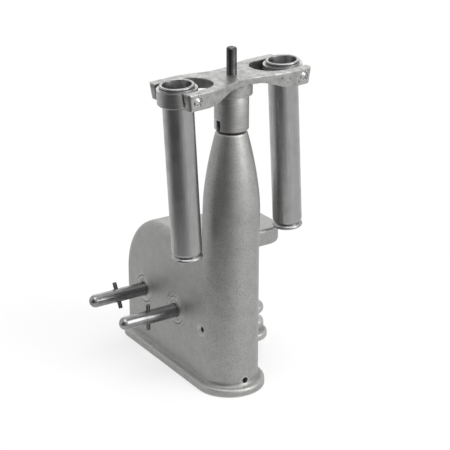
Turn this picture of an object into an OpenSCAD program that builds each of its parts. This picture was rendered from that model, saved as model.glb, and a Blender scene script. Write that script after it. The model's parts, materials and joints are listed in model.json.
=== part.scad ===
// Hand crank centrifuge: a cast column and gear case with a bench clamp, two crank shafts of
// different speed, and a yoke on the spindle that carries two swinging shields for tubes.
// Millimetres. The spindle is the Z axis and the base lies on Z = 0. The case reaches along -X,
// the crank shafts stick out along -Y and the bench clamp along +Y.

/* [Gear case] */
// Half the thickness of the gear case, which is also the radius of its round nose
case_half = 20; // [18.5:0.5:23]
// Height of the flat top of the gear case
case_top_z = 101.5; // [92:0.5:112]
// Radius of the large round corner at the far end
case_round_r = 50; // [40:1:56]
// Rounding along the edges of the gear case
case_edge_r = 6; // [4.5:0.5:8]
// Distance that the centre of the round nose lies behind the spindle
nose_back = 2.5; // [1.5:0.1:4.5]
// Distance from the low-speed shaft to the far end of the case
case_end_gap = 28.3; // [24:0.1:34]
// Thickness of the cast walls of the case
wall = 4; // [3:0.5:5]

/* [Column] */
// Radius of the column where it is widest
column_r = 19.05; // [17.5:0.05:21]
// Radius of the column at its top
column_top_r = 10.35; // [9.5:0.05:12]
// Height from the widest point of the column to its top
column_swell_h = 53.5; // [46:0.5:60]
// Power of the curve that the side of the column follows
column_curve = 1.6; // [1.2:0.1:2]
// Thickness of the column's wall
column_wall = 4.5; // [3.5:0.1:5.5]
// Height at which the column starts to grow out of the nose
column_foot_z = 70; // [60:1:85]

/* [Base flange] */
// How far the flange stands out from the case
flange_out = 4.5; // [3.5:0.1:6]
// Thickness of the flange
flange_t = 5.5; // [4.5:0.1:7]
// Radius of the flange's corners in plan at the far end
flange_corner_r = 12; // [9:0.5:16]
// Rounding of the flange's upper edge
flange_edge_r = 2.2; // [1.4:0.1:3]

/* [Base cover] */
// Thickness of the cover plate
cover_t = 2.5; // [2:0.1:3.5]
// Distance from the flange's rim in to the cover's recess
cover_in = 2.5; // [1.8:0.1:3]
// Clearance round the cover plate
cover_gap = 0.2; // [0.1:0.05:0.4]
// Shank radius of the cover screws
cover_screw_r = 1.25; // [1:0.05:1.4]
// Length of the cover screws, head and all
cover_screw_len = 8; // [6:0.5:10]
// Head radius of the cover screws
cover_head_r = 2.5; // [2.1:0.1:3]

/* [Crank shafts] */
// Height of both crank shafts
shaft_z = 45; // [42:0.5:50]
// Distance from the spindle back to the high-speed shaft
high_shaft_back = 39.5; // [37:0.1:44]
// Distance between the two crank shafts
shaft_pitch = 43.2; // [41:0.1:46]
// Radius of the crank shafts
shaft_r = 4.8; // [4.2:0.05:5.4]
// Radius at the shaft's end, where the crank slips on
crank_seat_r = 4.6; // [3.9:0.05:5.3]
// Distance that the shafts stand out, from the case to the centre of the round end
shaft_out = 40.2; // [34:0.1:48]
// Radius of the cross pins
cross_pin_r = 1.5; // [1.1:0.05:1.9]
// Length of the cross pins
cross_pin_len = 19; // [15:0.5:24]
// Distance from the centre of the round end back to the cross pin
cross_pin_back = 17.7; // [13:0.1:22]
// Turn of the low-speed shaft's cross pin from upright, in degrees
low_pin_turn = 26; // [0:1:90]

/* [Shaft bearings] */
// Radius of the round bosses on the face of the case
boss_r = 11.5; // [10.5:0.1:13]
// How far the bosses stand out from the face
boss_out = 1; // [0.6:0.1:2.5]
// How far the bosses reach inwards from the inner face of the wall
boss_in = 4; // [2.5:0.1:4.5]
// Outer radius of the bushes
bush_r = 8; // [7:0.1:9]
// How far the front bushes stand out from their bosses
bush_proud = 0.3; // [0.2:0.1:1]
// Radial clearance of a running fit
run_gap = 0.05; // [0.02:0.01:0.08]

/* [Gears] */
// Number of teeth on the worm wheel
wheel_teeth = 40; // [36:1:44]
// Number of starts on the worm
worm_starts = 4; // [3:1:5]
// Helix angle of the worm wheel's teeth, in degrees
wheel_helix = 22; // [19:0.5:25]
// Number of teeth on the spur gear
gear_teeth = 36; // [34:1:38]
// Number of teeth on the pinion
pinion_teeth = 20; // [18:1:22]
// Pressure angle of all teeth, in degrees
pressure_angle = 20; // [18:0.5:22]
// Play between meshed teeth, measured along the pitch line
backlash = 0.35; // [0.25:0.05:0.6]
// Space between the worm wheel and the spur gear beside it
gear_gap = 1.5; // [1:0.1:2]
// Length of the worm's thread
worm_len = 22; // [18:0.5:26]
// Length of the plain collar under the worm
worm_collar_len = 7; // [5:0.5:8]
// Radius of the worm's collar
worm_collar_r = 7; // [6.4:0.1:8]
// Radius of the hubs of the wheel and gears
hub_r = 9; // [8:0.1:10]
// Radius of the pins through the hubs
hub_pin_r = 1.25; // [1:0.05:1.5]

/* [Spindle] */
// Radius of the spindle
spindle_r = 4; // [3.6:0.05:4.4]
// Radius of the spindle inside the yoke
spindle_neck_r = 3.5; // [3.4:0.05:3.55]
// Radius of the spindle's free end
spindle_end_r = 3.35; // [3:0.05:3.4]
// Height of the spindle's end above the yoke
spindle_rise = 17.8; // [12:0.1:24]
// Radius of the steel ball under the spindle
ball_r = 2.5; // [2:0.1:3]
// Outer radius of the foot bearing
foot_r = 8; // [7.2:0.1:9]
// Height of the foot bearing's top
foot_top_z = 22; // [20:0.5:23]
// Metal under the ball in the foot bearing
foot_web = 3.5; // [2.5:0.1:4.5]
// Outer radius of the upper bush
neck_bush_r = 7; // [6.2:0.1:7.5]
// Length of the upper bush
neck_bush_len = 20; // [14:0.5:26]

/* [Rotor] */
// Direction in which the rotor stands, in degrees from +X
rotor_turn = 97.6; // [0:0.1:180]
// Distance from the spindle to each shield's pivot
pivot_r = 44.4; // [42:0.1:50]
// Height of the yoke's top above the pivots
pivot_drop = 5.6; // [5:0.1:6.5]
// How far the yoke's sides stand out past its boss, beside the spindle
yoke_mid_out = 0.9; // [0.4:0.1:2]
// Depth of the yoke beside its hub
yoke_mid_t = 4.8; // [4:0.1:6]
// Depth of the yoke at its tips
yoke_tip_t = 11; // [10.5:0.1:12]
// Thickness of the yoke's prongs
prong_t = 6.6; // [5:0.1:8]
// How far the prongs reach past the pivots
prong_past = 7.1; // [5.5:0.1:9]
// Gap between each trunnion ring and the prongs beside it
ring_side_gap = 1; // [0.7:0.1:1.4]
// Distance from the spindle to the inner end of each slot
slot_start = 19.3; // [17:0.1:20.8]
// Radius of the boss under the yoke
hub_boss_r = 13.6; // [12.5:0.1:15]
// Height from the yoke's top to the underside of its boss
hub_boss_h = 12.8; // [12:0.1:16]
// Outer radius of the sleeve under the boss
sleeve_r = 11.3; // [10:0.1:12]
// Length of the sleeve below the boss
sleeve_len = 23.7; // [20:0.1:28]
// Radius of the sleeve's spigot inside the boss
spigot_r = 9; // [8:0.1:9.6]
// Length of the spigot
spigot_len = 7.5; // [6:0.1:9]
// Gap between the sleeve and the top of the column
sleeve_gap = 1.2; // [0.8:0.1:2]
// Width of the sleeve's drive slots
slot_w = 3.7; // [3.5:0.1:4.5]
// Height of the drive slots
slot_h = 7.5; // [6:0.1:9]
// Radius of the drive pin
drive_pin_r = 1.6; // [1.3:0.05:1.7]
// Length of the drive pin
drive_pin_len = 15; // [12:0.5:19]

/* [Pivots] */
// Shank radius of the pivot screws
pivot_screw_r = 1.5; // [1.2:0.05:1.8]
// Head radius of the pivot screws
pivot_head_r = 3.5; // [3:0.1:4]
// Depth of the recess for a pivot screw's head
pivot_recess = 0.8; // [0.5:0.1:1.4]
// Height of the domed head
pivot_dome = 1.7; // [1.4:0.1:2.2]

/* [Shields] */
// Outer radius of the shields
shield_r = 10; // [9:0.1:10.6]
// Thickness of a shield's wall
shield_wall = 0.8; // [0.6:0.05:1.2]
// Length of a shield
shield_len = 119; // [105:1:130]
// Height of a shield's lip above its pivot
lip_rise = 7.6; // [7:0.1:9]
// Radius of the rolled edge round the lip
lip_roll_r = 0.8; // [0.6:0.05:1]
// Radius of the rolled bead round the bottom
bead_r = 1.35; // [1:0.05:1.6]
// Clearance between a hanging shield and the top of the case
shield_clear = 2.7; // [2:0.1:6]
// Lean of the shields, their bottoms towards the rear, in degrees
shield_lean = 3.4; // [0:0.1:5]
// Wall of a trunnion ring
ring_wall = 3; // [2.4:0.1:3.6]
// Height of a trunnion ring
ring_h = 10.5; // [9:0.1:12]
// Height of the raised rim on a trunnion ring
ring_rim_h = 0.9; // [0.5:0.1:1.2]
// Thickness of the rubber cushion in a shield
cushion_t = 6; // [4:0.5:9]
// How much narrower the cushion's seat is than the shield's bore
cushion_step = 0.4; // [0.3:0.05:0.6]
// Clearance round the cushion
cushion_gap = 0.1; // [0.05:0.05:0.3]

/* [Bench clamp] */
// Distance from the spindle back to the middle of the clamp
clamp_back = 36.75; // [34:0.25:42]
// Half the width of the upper jaw
jaw_half = 23.3; // [18:0.1:25]
// How far the upper jaw stands out behind the case
jaw_reach = 33.4; // [28:0.1:36]
// Thickness of the upper jaw
jaw_t = 12.5; // [10:0.1:14]
// Radius of the jaw's corners in plan
jaw_corner_r = 12; // [8:0.5:15]
// Rounding of the jaw's edges
jaw_edge_r = 2; // [1.2:0.1:3]
// Half the width of the lower arm
arm_half = 10.8; // [9:0.1:12]
// Thickness of the lower arm
arm_t = 7.8; // [7:0.1:11]
// Distance from the rear of the case to the clamp screw
screw_out = 19; // [17:0.5:21]
// Radius of the clamp screw
screw_r = 4; // [3.4:0.05:4.6]
// Radius of the clamp screw's tip
screw_tip_r = 2.5; // [2:0.05:3]
// Radius of the swivel pad
pad_r = 6.5; // [5.5:0.1:8]
// Thickness of the swivel pad
pad_t = 8; // [6.5:0.1:10]
// How far the pad stands above the lower arm
pad_rise = 16.5; // [12:0.5:22]
// Radius of the clamp knob's rim
knob_r = 13.3; // [12:0.1:14.5]
// Height of the knob's rim
knob_rim_h = 5.9; // [5:0.1:8]
// Radius of the knob's hub
knob_hub_r = 10.7; // [8.5:0.1:10.8]
// Height of the knob's hub
knob_hub_h = 9.4; // [8:0.1:11]
// Height of the knob's underside above the base
knob_z = 10.5; // [8:0.1:11]
// Gap between the knob and the lower arm
knob_gap = 3.9; // [2.5:0.1:5]

/* [Hidden] */

$fn = 64;
// Overrun of every cut
cut = 1;
// Facets round the column
blend_sides = 64;
// Steps along a curved outline
curve_steps = 12;
// Steps up the flank of a tooth
flank_steps = 2;
// Slices in the twist of the worm wheel and of the worm
wheel_slices = 4;
worm_slices = 30;

// Case
low_shaft_back = high_shaft_back + shaft_pitch;
case_reach = low_shaft_back + case_end_gap;
inner_half = case_half - wall;
round_back = case_reach - case_round_r;
round_z = case_top_z - case_round_r;
inner_edge_r = max(case_edge_r - wall, case_edge_r / 4);
boss_face = inner_half - boss_in;
boss_root = boss_in + wall / 2;
boss_edge_r = boss_out / 2;

// Base
flange_half = case_half + flange_out;
flange_reach = case_reach + flange_out;
cover_half = flange_half - cover_in;
cover_reach = flange_reach - cover_in;
cover_corner_r = flange_corner_r - cover_in;
cover_row = case_half - wall / 2;
cover_head_h = cover_head_r - cover_screw_r;
cover_end_back = low_shaft_back + case_end_gap / 2;
cover_mid_back = (low_shaft_back + high_shaft_back) / 2;
cover_nose_back = high_shaft_back / 3;
cover_backs = [cover_end_back, cover_mid_back, cover_nose_back];
cover_places = [for (back = cover_backs) for (side = [-1, 1]) [-back, side * cover_row]];

// Heights of the rotor, from the top of the case upwards
shield_drop = shield_len - lip_rise;
pivot_z = case_top_z + shield_clear + shield_drop;
yoke_top_z = pivot_z + pivot_drop;
sleeve_top_z = yoke_top_z - hub_boss_h;
sleeve_bottom_z = sleeve_top_z - sleeve_len;
column_top_z = sleeve_bottom_z - sleeve_gap;
column_wide_z = column_top_z - column_swell_h;
spindle_top_z = yoke_top_z + spindle_rise;
spindle_end_taper = spindle_end_r / 4;
spindle_shoulder_z = sleeve_top_z + spigot_len / 2;
drive_pin_z = sleeve_bottom_z + slot_h / 2;

// Column
column_sink = 0.4;
column_bore_r = column_r - column_wall;
neck_bush_z = column_top_z - neck_bush_len;
neck_bush_proud = sleeve_gap / 3;

// Foot of the spindle
foot_floor_z = cover_t + foot_web;
spindle_bottom_z = foot_floor_z + 2 * ball_r;
foot_boss_r = foot_r + wall;
grub_r = 2.2;
foot_rib_t = 3 * grub_r;
grub_len = 5;
grub_z = foot_floor_z + ball_r + ball_r / 3;
oil_hole_r = 1.9;
oil_recess_r = 4.3;
oil_recess_depth = wall / 3;
oil_hole_z = shaft_z - ball_r;
oil_hole_back = nose_back + shaft_r;

// Gears
wheel_cos = cos(wheel_helix);
worm_cos = sin(wheel_helix);
normal_module = 2 * high_shaft_back / (wheel_teeth / wheel_cos + worm_starts / worm_cos);
wheel_pitch_r = normal_module * wheel_teeth / (2 * wheel_cos);
worm_pitch_r = normal_module * worm_starts / (2 * worm_cos);
worm_lead = 2 * PI * worm_pitch_r * tan(wheel_helix);
wheel_lead = 2 * PI * wheel_pitch_r / tan(wheel_helix);
spur_module = 2 * shaft_pitch / (gear_teeth + pinion_teeth);
gear_pitch_r = spur_module * gear_teeth / 2;
pinion_pitch_r = spur_module * pinion_teeth / 2;
root_share = 1.25;
hub_float = 0.3;
hub_face = boss_face - hub_float;
wheel_w_share = 0.625;
wheel_w = inner_half * wheel_w_share;
spur_start = wheel_w / 2 + gear_gap;
spur_w = hub_face - spur_start;
wheel_pin_y = -(wheel_w / 2 + hub_face) / 2;
worm_pin_z = shaft_z - worm_len / 2 - worm_collar_len / 2;
shaft_rear = case_half - hub_float;

// Yoke
ring_r = shield_r + run_gap + ring_wall;
slot_r = ring_r + ring_side_gap;
jaw_out = slot_r + prong_t;
slot_centre = slot_start + slot_r;
yoke_tip = pivot_r + prong_past;
prong_round = prong_t / 3;
yoke_mid_half = hub_boss_r + yoke_mid_out;
depth_start = slot_start / 2;
depth_end = slot_centre + slot_r / 5;

// Pivots
pivot_reach_share = 0.8;
pivot_tip = ring_r - ring_wall * pivot_reach_share;
pivot_point_h = pivot_screw_r / 2;
cross_recess_len = pivot_head_r + pivot_head_r / 5;
cross_recess_w = pivot_head_r / 4;
cross_recess_share = 0.6;
cross_recess_depth = pivot_dome * cross_recess_share;
cross_recess_turn = 45;

// Shields
shield_bore_r = shield_r - shield_wall;
cushion_seat_r = shield_bore_r - cushion_step;
cushion_seat_h = cushion_t + 2 * cushion_gap;
shield_floor = bead_r * 4;
shield_dish = bead_r * 2;
lip_out_r = shield_r + lip_roll_r / 2;
ring_top = lip_rise - 2 * lip_roll_r;
ring_bottom = ring_top - ring_h - ring_rim_h;
ring_rim_r = shield_r + run_gap + ring_wall / 2;
ring_chamfer = ring_wall / 3;
waist_r = shield_r - shield_wall * 1.5;

// Clamp
jaw_z = case_top_z - jaw_t;
screw_y = case_half + screw_out;
knob_top_z = knob_z + knob_rim_h + knob_hub_h;
arm_z = knob_top_z + knob_gap;
arm_top_z = arm_z + arm_t;
pad_z = arm_top_z + pad_rise;
knob_edge_r = knob_rim_h / 3;
screw_tip_share = 0.7;
screw_tip_len = pad_t * screw_tip_share;
pad_rest_gap = 0.2;
knob_pin_z = knob_top_z - knob_hub_h / 2;

// Radius of the column at height z
function column_at(z) = column_top_r
    + (column_r - column_top_r) * (1 - pow(1 - min(1, (column_top_z - z) / column_swell_h), column_curve));
// Evenly spaced places along a curve between two levels
function levels(low, high) = [for (i = [0:curve_steps]) low + (high - low) * i / curve_steps];
// Ease from 0 to 1 between two places
function ease(x, low, high) = (1 - cos(180 * min(1, max(0, (x - low) / (high - low))))) / 2;
// Involute of an angle, in degrees
function involute(a) = tan(a) * 180 / PI - a;
// Half the angle that a tooth takes at radius r
function tooth_half(r, base, pitch_half, slant) =
    pitch_half + involute(slant) - involute(acos(min(1, base / r)));
// Radii up the flank of a tooth, from its root to its tip
function flank_radii(root, base, tip) = concat(
    base > root ? [root] : [],
    [for (i = [0:flank_steps]) max(root, base) + (tip - max(root, base)) * i / flank_steps]);
// Outline of a gear with a tooth centred on +X
function gear_outline(teeth, pitch, slant, root, tip, play) =
    let (base = pitch * cos(slant))
    let (pitch_half = 90 / teeth - play / 4 / pitch * 180 / PI)
    let (radii = flank_radii(root, base, tip))
    let (last = len(radii) - 1)
    [for (t = [0:teeth - 1]) for (s = [-1, 1]) for (i = [0:last])
        let (r = radii[s < 0 ? i : last - i])
        let (a = 360 * t / teeth + s * tooth_half(r, base, pitch_half, slant))
        [r * cos(a), r * sin(a)]];

// Shapes shared by several pieces

// Turns what follows so that its Z axis runs along +Y
module along_y() {
    rotate([-90, 0, 0]) children();
}

// Side view of the gear case in X and Z, drawn in by an inset
module case_side(inset) {
    reach = case_reach - inset;
    intersection() {
        translate([-round_back, round_z]) circle(case_round_r - inset);
        translate([-reach, round_z]) square([case_round_r, case_round_r]);
    }
    translate([-reach, 0]) square([reach - nose_back, round_z]);
    translate([-round_back, 0]) square([round_back - nose_back, case_top_z - inset]);
}

// The gear case as a rounded block, drawn in by an inset, with edges of the given radius
module case_block(inset, edge) {
    half = case_half - inset;
    core = half - edge;
    edge_z = case_top_z - inset - edge;
    rotate([90, 0, 0]) linear_extrude(2 * core, center = true) case_side(inset);
    rotate([90, 0, 0]) linear_extrude(2 * half, center = true) case_side(inset + edge);
    for (side = [-1, 1]) translate([0, side * core, 0]) {
        translate([-round_back, 0, round_z]) rotate([90, 0, 0]) rotate([0, 0, 90])
            rotate_extrude(angle = 90) translate([case_round_r - inset - edge, 0]) circle(edge);
        translate([inset + edge - case_reach, 0, 0]) cylinder(r = edge, h = round_z);
        translate([-round_back, 0, edge_z]) rotate([0, 90, 0])
            cylinder(r = edge, h = round_back - nose_back);
    }
    translate([-nose_back, 0, 0]) {
        cylinder(r = half, h = edge_z);
        cylinder(r = core, h = case_top_z - inset);
        translate([0, 0, edge_z]) rotate([0, 0, -90])
            rotate_extrude(angle = 180) translate([core, 0]) circle(edge);
    }
}

// Plan of the base: a round nose, straight sides and two corners at the far end
module base_plan(half, reach, corner_r) {
    translate([-nose_back, 0]) circle(half);
    translate([corner_r - reach, -half]) square([reach - corner_r - nose_back, 2 * half]);
    translate([-reach, corner_r - half]) square([2 * corner_r, 2 * (half - corner_r)]);
    for (side = [-1, 1]) translate([corner_r - reach, side * (half - corner_r)]) circle(corner_r);
}

// The base flange with its rolled upper edge
module flange() {
    edge_z = flange_t - flange_edge_r;
    core = flange_half - flange_edge_r;
    linear_extrude(edge_z) base_plan(flange_half, flange_reach, flange_corner_r);
    linear_extrude(flange_t)
        base_plan(core, flange_reach - flange_edge_r, flange_corner_r - flange_edge_r);
    translate([0, 0, edge_z]) {
        translate([-nose_back, 0, 0]) rotate([0, 0, -90])
            rotate_extrude(angle = 180) translate([core, 0]) circle(flange_edge_r);
        for (side = [-1, 1]) {
            translate([flange_corner_r - flange_reach, side * core, 0]) rotate([0, 90, 0])
                cylinder(r = flange_edge_r, h = flange_reach - flange_corner_r - nose_back);
            translate([flange_corner_r - flange_reach, side * (flange_half - flange_corner_r), 0])
                rotate([0, 0, side > 0 ? 90 : 180]) rotate_extrude(angle = 90)
                    translate([flange_corner_r - flange_edge_r, 0]) circle(flange_edge_r);
        }
        translate([flange_edge_r - flange_reach, flange_corner_r - flange_half, 0])
            along_y() cylinder(r = flange_edge_r, h = 2 * (flange_half - flange_corner_r));
    }
}

// The column: an ogive above its widest point, blended down into the nose
module column_form() {
    sections = concat([[column_foot_z, case_half - column_sink, nose_back]],
        [for (z = levels(column_wide_z, column_top_z)) [z, column_at(z), 0]]);
    last = len(sections) - 1;
    points = [for (s = sections) for (i = [0:blend_sides - 1])
        let (a = 360 * i / blend_sides)
        [s[1] * cos(a) - s[2], s[1] * sin(a), s[0]]];
    walls = [for (k = [1:last]) for (i = [0:blend_sides - 1])
        let (low = (k - 1) * blend_sides)
        let (next = (i + 1) % blend_sides)
        [low + i, low + blend_sides + i, low + blend_sides + next, low + next]];
    polyhedron(points, concat(walls, [
        [for (i = [0:blend_sides - 1]) i],
        [for (i = [blend_sides - 1:-1:0]) last * blend_sides + i]
    ]));
}

// The hollow inside the column, up to the upper bush
module column_hollow() {
    rotate_extrude() polygon(concat(
        [[0, column_foot_z], [column_bore_r, column_foot_z]],
        [for (z = levels(column_wide_z, neck_bush_z)) [column_at(z) - column_wall, z]],
        [[0, neck_bush_z]]));
}

// Upper jaw of the bench clamp, with rolled edges
module upper_jaw() {
    long = jaw_reach + wall;
    translate([-clamp_back, case_half - wall, jaw_z]) {
        for (step = [0, 1]) {
            inset = step * jaw_edge_r;
            translate([0, 0, jaw_edge_r - inset])
                linear_extrude(jaw_t - 2 * (jaw_edge_r - inset)) jaw_plan(long, inset);
        }
        for (z = [jaw_edge_r, jaw_t - jaw_edge_r]) translate([0, 0, z]) jaw_roll(long);
    }
}

// Plan of the upper jaw, drawn in by an inset
module jaw_plan(long, inset) {
    half = jaw_half - inset;
    corner_r = jaw_corner_r - inset;
    straight = jaw_half - jaw_corner_r;
    translate([-half, 0]) square([2 * half, long - jaw_corner_r]);
    translate([-straight, 0]) square([2 * straight, long - inset]);
    for (side = [-1, 1]) translate([side * straight, long - jaw_corner_r]) circle(corner_r);
}

// Rolled edge round the upper jaw at one level
module jaw_roll(long) {
    straight = jaw_half - jaw_corner_r;
    for (side = [-1, 1]) {
        translate([side * (jaw_half - jaw_edge_r), 0, 0])
            along_y() cylinder(r = jaw_edge_r, h = long - jaw_corner_r);
        translate([side * straight, long - jaw_corner_r, 0]) rotate([0, 0, side > 0 ? 0 : 90])
            rotate_extrude(angle = 90) translate([jaw_corner_r - jaw_edge_r, 0]) circle(jaw_edge_r);
    }
    translate([-straight, long - jaw_edge_r, 0])
        rotate([0, 90, 0]) cylinder(r = jaw_edge_r, h = 2 * straight);
}

// Lower arm of the bench clamp, with a full round along its edge
module lower_arm() {
    edge = arm_t / 2;
    core = arm_half - edge;
    long = screw_out + wall;
    translate([-clamp_back, case_half - wall, arm_z]) {
        linear_extrude(arm_t) translate([-core, 0]) square([2 * core, long]);
        translate([0, long, 0]) cylinder(r = core, h = arm_t);
        translate([0, 0, edge]) {
            translate([0, long, 0]) rotate_extrude(angle = 180) translate([core, 0]) circle(edge);
            for (side = [-1, 1]) translate([side * core, 0, 0])
                along_y() cylinder(r = edge, h = long);
        }
    }
}

// Round boss on the face of the case, standing towards +Z
module face_boss() {
    rotate_extrude() {
        translate([0, -wall]) square([boss_r, wall + boss_out - boss_edge_r]);
        translate([0, -wall]) square([boss_r - boss_edge_r, wall + boss_out]);
        translate([boss_r - boss_edge_r, boss_out - boss_edge_r]) circle(boss_edge_r);
    }
}

// Places its children on both crank shaft axes
module at_shafts() {
    for (back = [high_shaft_back, low_shaft_back]) translate([-back, 0, shaft_z]) children();
}

// A pin across a shaft, centred on its axis and upright
module cross_bar(r, long) {
    cylinder(r = r, h = long, center = true);
}

// A plain ring along Z
module ring(outer, inner, h) {
    difference() {
        cylinder(r = outer, h = h);
        translate([0, 0, -cut]) cylinder(r = inner, h = h + 2 * cut);
    }
}

// Body casting

module case_bosses() {
    at_shafts() {
        translate([0, -case_half, 0]) rotate([90, 0, 0]) face_boss();
        for (side = [-1, 1]) translate([0, side * (boss_face + boss_root / 2), 0])
            along_y() cylinder(r = boss_r, h = boss_root, center = true);
    }
    translate([0, 0, cover_t]) cylinder(r = foot_boss_r, h = foot_top_z - cover_t);
    translate([0, -foot_rib_t / 2, cover_t])
        cube([case_half - nose_back - wall / 2, foot_rib_t, foot_top_z - cover_t]);
    translate([-foot_rib_t / 2, wall / 2 - case_half, cover_t])
        cube([foot_rib_t, 2 * case_half - wall, foot_top_z - cover_t]);
}

module case_bores() {
    at_shafts() translate([0, -case_half - boss_out - cut, 0])
        along_y() cylinder(r = bush_r, h = 2 * case_half + boss_out + 2 * cut);
    translate([0, 0, neck_bush_z - cut]) cylinder(r = neck_bush_r, h = neck_bush_len + 2 * cut);
    cylinder(r = foot_r, h = foot_top_z + cut);
    translate([0, 0, -cut]) linear_extrude(cut + cover_t)
        base_plan(cover_half, cover_reach, cover_corner_r);
    for (place = cover_places) translate([place.x, place.y, 0])
        cylinder(r = cover_screw_r, h = cover_screw_len + cover_gap);
    translate([0, 0, grub_z]) rotate([0, 90, 0]) cylinder(r = grub_r, h = case_half);
    translate([-oil_hole_back, -case_half - cut, oil_hole_z])
        along_y() cylinder(r = oil_hole_r, h = wall + 2 * cut);
    translate([-oil_hole_back, -case_half - cut, oil_hole_z])
        along_y() cylinder(r = oil_recess_r, h = oil_recess_depth + cut);
    translate([-clamp_back, screw_y, arm_z - cut])
        cylinder(r = screw_r + run_gap, h = arm_t + 2 * cut);
}

module body_casting() {
    color("#9a9b9c") difference() {
        union() {
            difference() {
                union() {
                    case_block(0, case_edge_r);
                    flange();
                    column_form();
                }
                translate([0, 0, -cut]) case_block(wall, inner_edge_r);
                column_hollow();
            }
            case_bosses();
            upper_jaw();
            lower_arm();
        }
        case_bores();
    }
}

module base_cover() {
    color("#8d8e90") difference() {
        linear_extrude(cover_t) base_plan(cover_half - cover_gap, cover_reach - cover_gap,
            cover_corner_r - cover_gap);
        for (place = cover_places) translate([place.x, place.y, 0]) {
            translate([0, 0, -cut]) cylinder(r = cover_screw_r, h = cover_t + 2 * cut);
            cylinder(r1 = cover_head_r, r2 = cover_screw_r, h = cover_head_h);
        }
    }
}

module cover_screws() {
    color("#77787a") for (place = cover_places) translate([place.x, place.y, 0]) difference() {
        union() {
            cylinder(r = cover_screw_r, h = cover_screw_len);
            cylinder(r1 = cover_head_r, r2 = cover_screw_r, h = cover_head_h);
        }
        translate([-cover_head_r, -cover_head_h / 4, -cut])
            cube([2 * cover_head_r, cover_head_h / 2, cut + cover_head_h / 2]);
    }
}

module upper_bush() {
    color("#8a7a55") translate([0, 0, neck_bush_z])
        ring(neck_bush_r, spindle_r + run_gap, neck_bush_len + neck_bush_proud);
}

module foot_bearing() {
    color("#8a7a55") difference() {
        translate([0, 0, cover_t]) cylinder(r = foot_r, h = foot_top_z - cover_t);
        translate([0, 0, foot_floor_z]) cylinder(r = ball_r + run_gap, h = foot_top_z);
        translate([0, 0, spindle_bottom_z - ball_r / 4]) cylinder(r = spindle_r + run_gap, h = foot_top_z);
    }
}

module foot_ball() {
    color("#c4c6c8") translate([0, 0, foot_floor_z + ball_r]) sphere(ball_r);
}

module foot_grub_screw() {
    color("#4d4e50") translate([foot_r, 0, grub_z]) rotate([0, 90, 0]) difference() {
        cylinder(r = grub_r, h = grub_len);
        translate([-grub_r - cut, -grub_r / 5, grub_len - grub_r / 2])
            cube([2 * (grub_r + cut), 2 * grub_r / 5, grub_len]);
    }
}

module front_bushes() {
    color("#a3a4a5") at_shafts() translate([0, -case_half - boss_out - bush_proud, 0])
        along_y() ring(bush_r, shaft_r + run_gap, case_half + boss_out + bush_proud - boss_face);
}

module rear_bushes() {
    color("#a3a4a5") at_shafts() translate([0, boss_face, 0])
        along_y() ring(bush_r, shaft_r + run_gap, case_half - boss_face);
}

// Crank shafts and gears

// A crank shaft along Y on the axis through the origin, with holes for its pins
module crank_shaft(pin_turn, hub_pin_y) {
    tip_y = -case_half - shaft_out;
    seat_len = cross_pin_back - 2 * cross_pin_r;
    difference() {
        union() {
            translate([0, tip_y, 0]) {
                sphere(crank_seat_r);
                along_y() cylinder(r = crank_seat_r, h = cross_pin_back);
                translate([0, seat_len, 0])
                    along_y() cylinder(r = shaft_r, h = shaft_rear - tip_y - seat_len);
            }
        }
        translate([0, tip_y + cross_pin_back, 0]) rotate([0, pin_turn, 0])
            cross_bar(cross_pin_r, 4 * shaft_r);
        translate([0, hub_pin_y, 0]) cross_bar(hub_pin_r, 4 * shaft_r);
    }
}

module cross_pin(pin_turn) {
    translate([0, cross_pin_back - case_half - shaft_out, 0]) rotate([0, pin_turn, 0])
        cross_bar(cross_pin_r, cross_pin_len);
}

// A hub along Y between two places, with its bore and pin hole
module hub_cuts(hub_pin_y) {
    translate([0, -case_half, 0]) along_y() cylinder(r = shaft_r, h = 2 * case_half);
    translate([0, hub_pin_y, 0]) cross_bar(hub_pin_r, 2 * (hub_r + cut));
}

module high_speed_shaft() {
    color("#6f7072") translate([-high_shaft_back, 0, shaft_z]) crank_shaft(0, wheel_pin_y);
}

module high_cross_pin() {
    color("#5e5f61") translate([-high_shaft_back, 0, shaft_z]) cross_pin(0);
}

module worm_wheel() {
    slant = atan(tan(pressure_angle) / wheel_cos);
    outline = gear_outline(wheel_teeth, wheel_pitch_r, slant, wheel_pitch_r - root_share * normal_module,
        wheel_pitch_r + normal_module, backlash / wheel_cos);
    turn = 360 * wheel_w / wheel_lead;
    color("#a08a4e") translate([-high_shaft_back, 0, shaft_z]) difference() {
        union() {
            along_y() rotate([0, 0, 180 / wheel_teeth - turn / 2])
                linear_extrude(wheel_w, center = true, twist = -turn, slices = wheel_slices) polygon(outline);
            translate([0, -hub_face, 0]) along_y() cylinder(r = hub_r, h = hub_face);
        }
        hub_cuts(wheel_pin_y);
    }
}

module spur_gear() {
    outline = gear_outline(gear_teeth, gear_pitch_r, pressure_angle, gear_pitch_r - root_share * spur_module,
        gear_pitch_r + spur_module, backlash);
    color("#7f8083") translate([-high_shaft_back, 0, shaft_z]) difference() {
        union() {
            translate([0, spur_start, 0]) along_y() rotate([0, 0, 180 / gear_teeth])
                linear_extrude(spur_w) polygon(outline);
            translate([0, wheel_w / 2, 0]) along_y() cylinder(r = hub_r, h = gear_gap + spur_w / 2);
        }
        translate([0, wheel_w / 2 - cut, 0]) along_y() cylinder(r = shaft_r, h = case_half);
    }
}

module wheel_pin() {
    color("#6a6b6d") translate([-high_shaft_back, wheel_pin_y, shaft_z]) cross_bar(hub_pin_r, 2 * hub_r);
}

module low_speed_shaft() {
    color("#6f7072") translate([-low_shaft_back, 0, shaft_z]) crank_shaft(-low_pin_turn, wheel_pin_y);
}

module low_cross_pin() {
    color("#5e5f61") translate([-low_shaft_back, 0, shaft_z]) cross_pin(-low_pin_turn);
}

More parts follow.
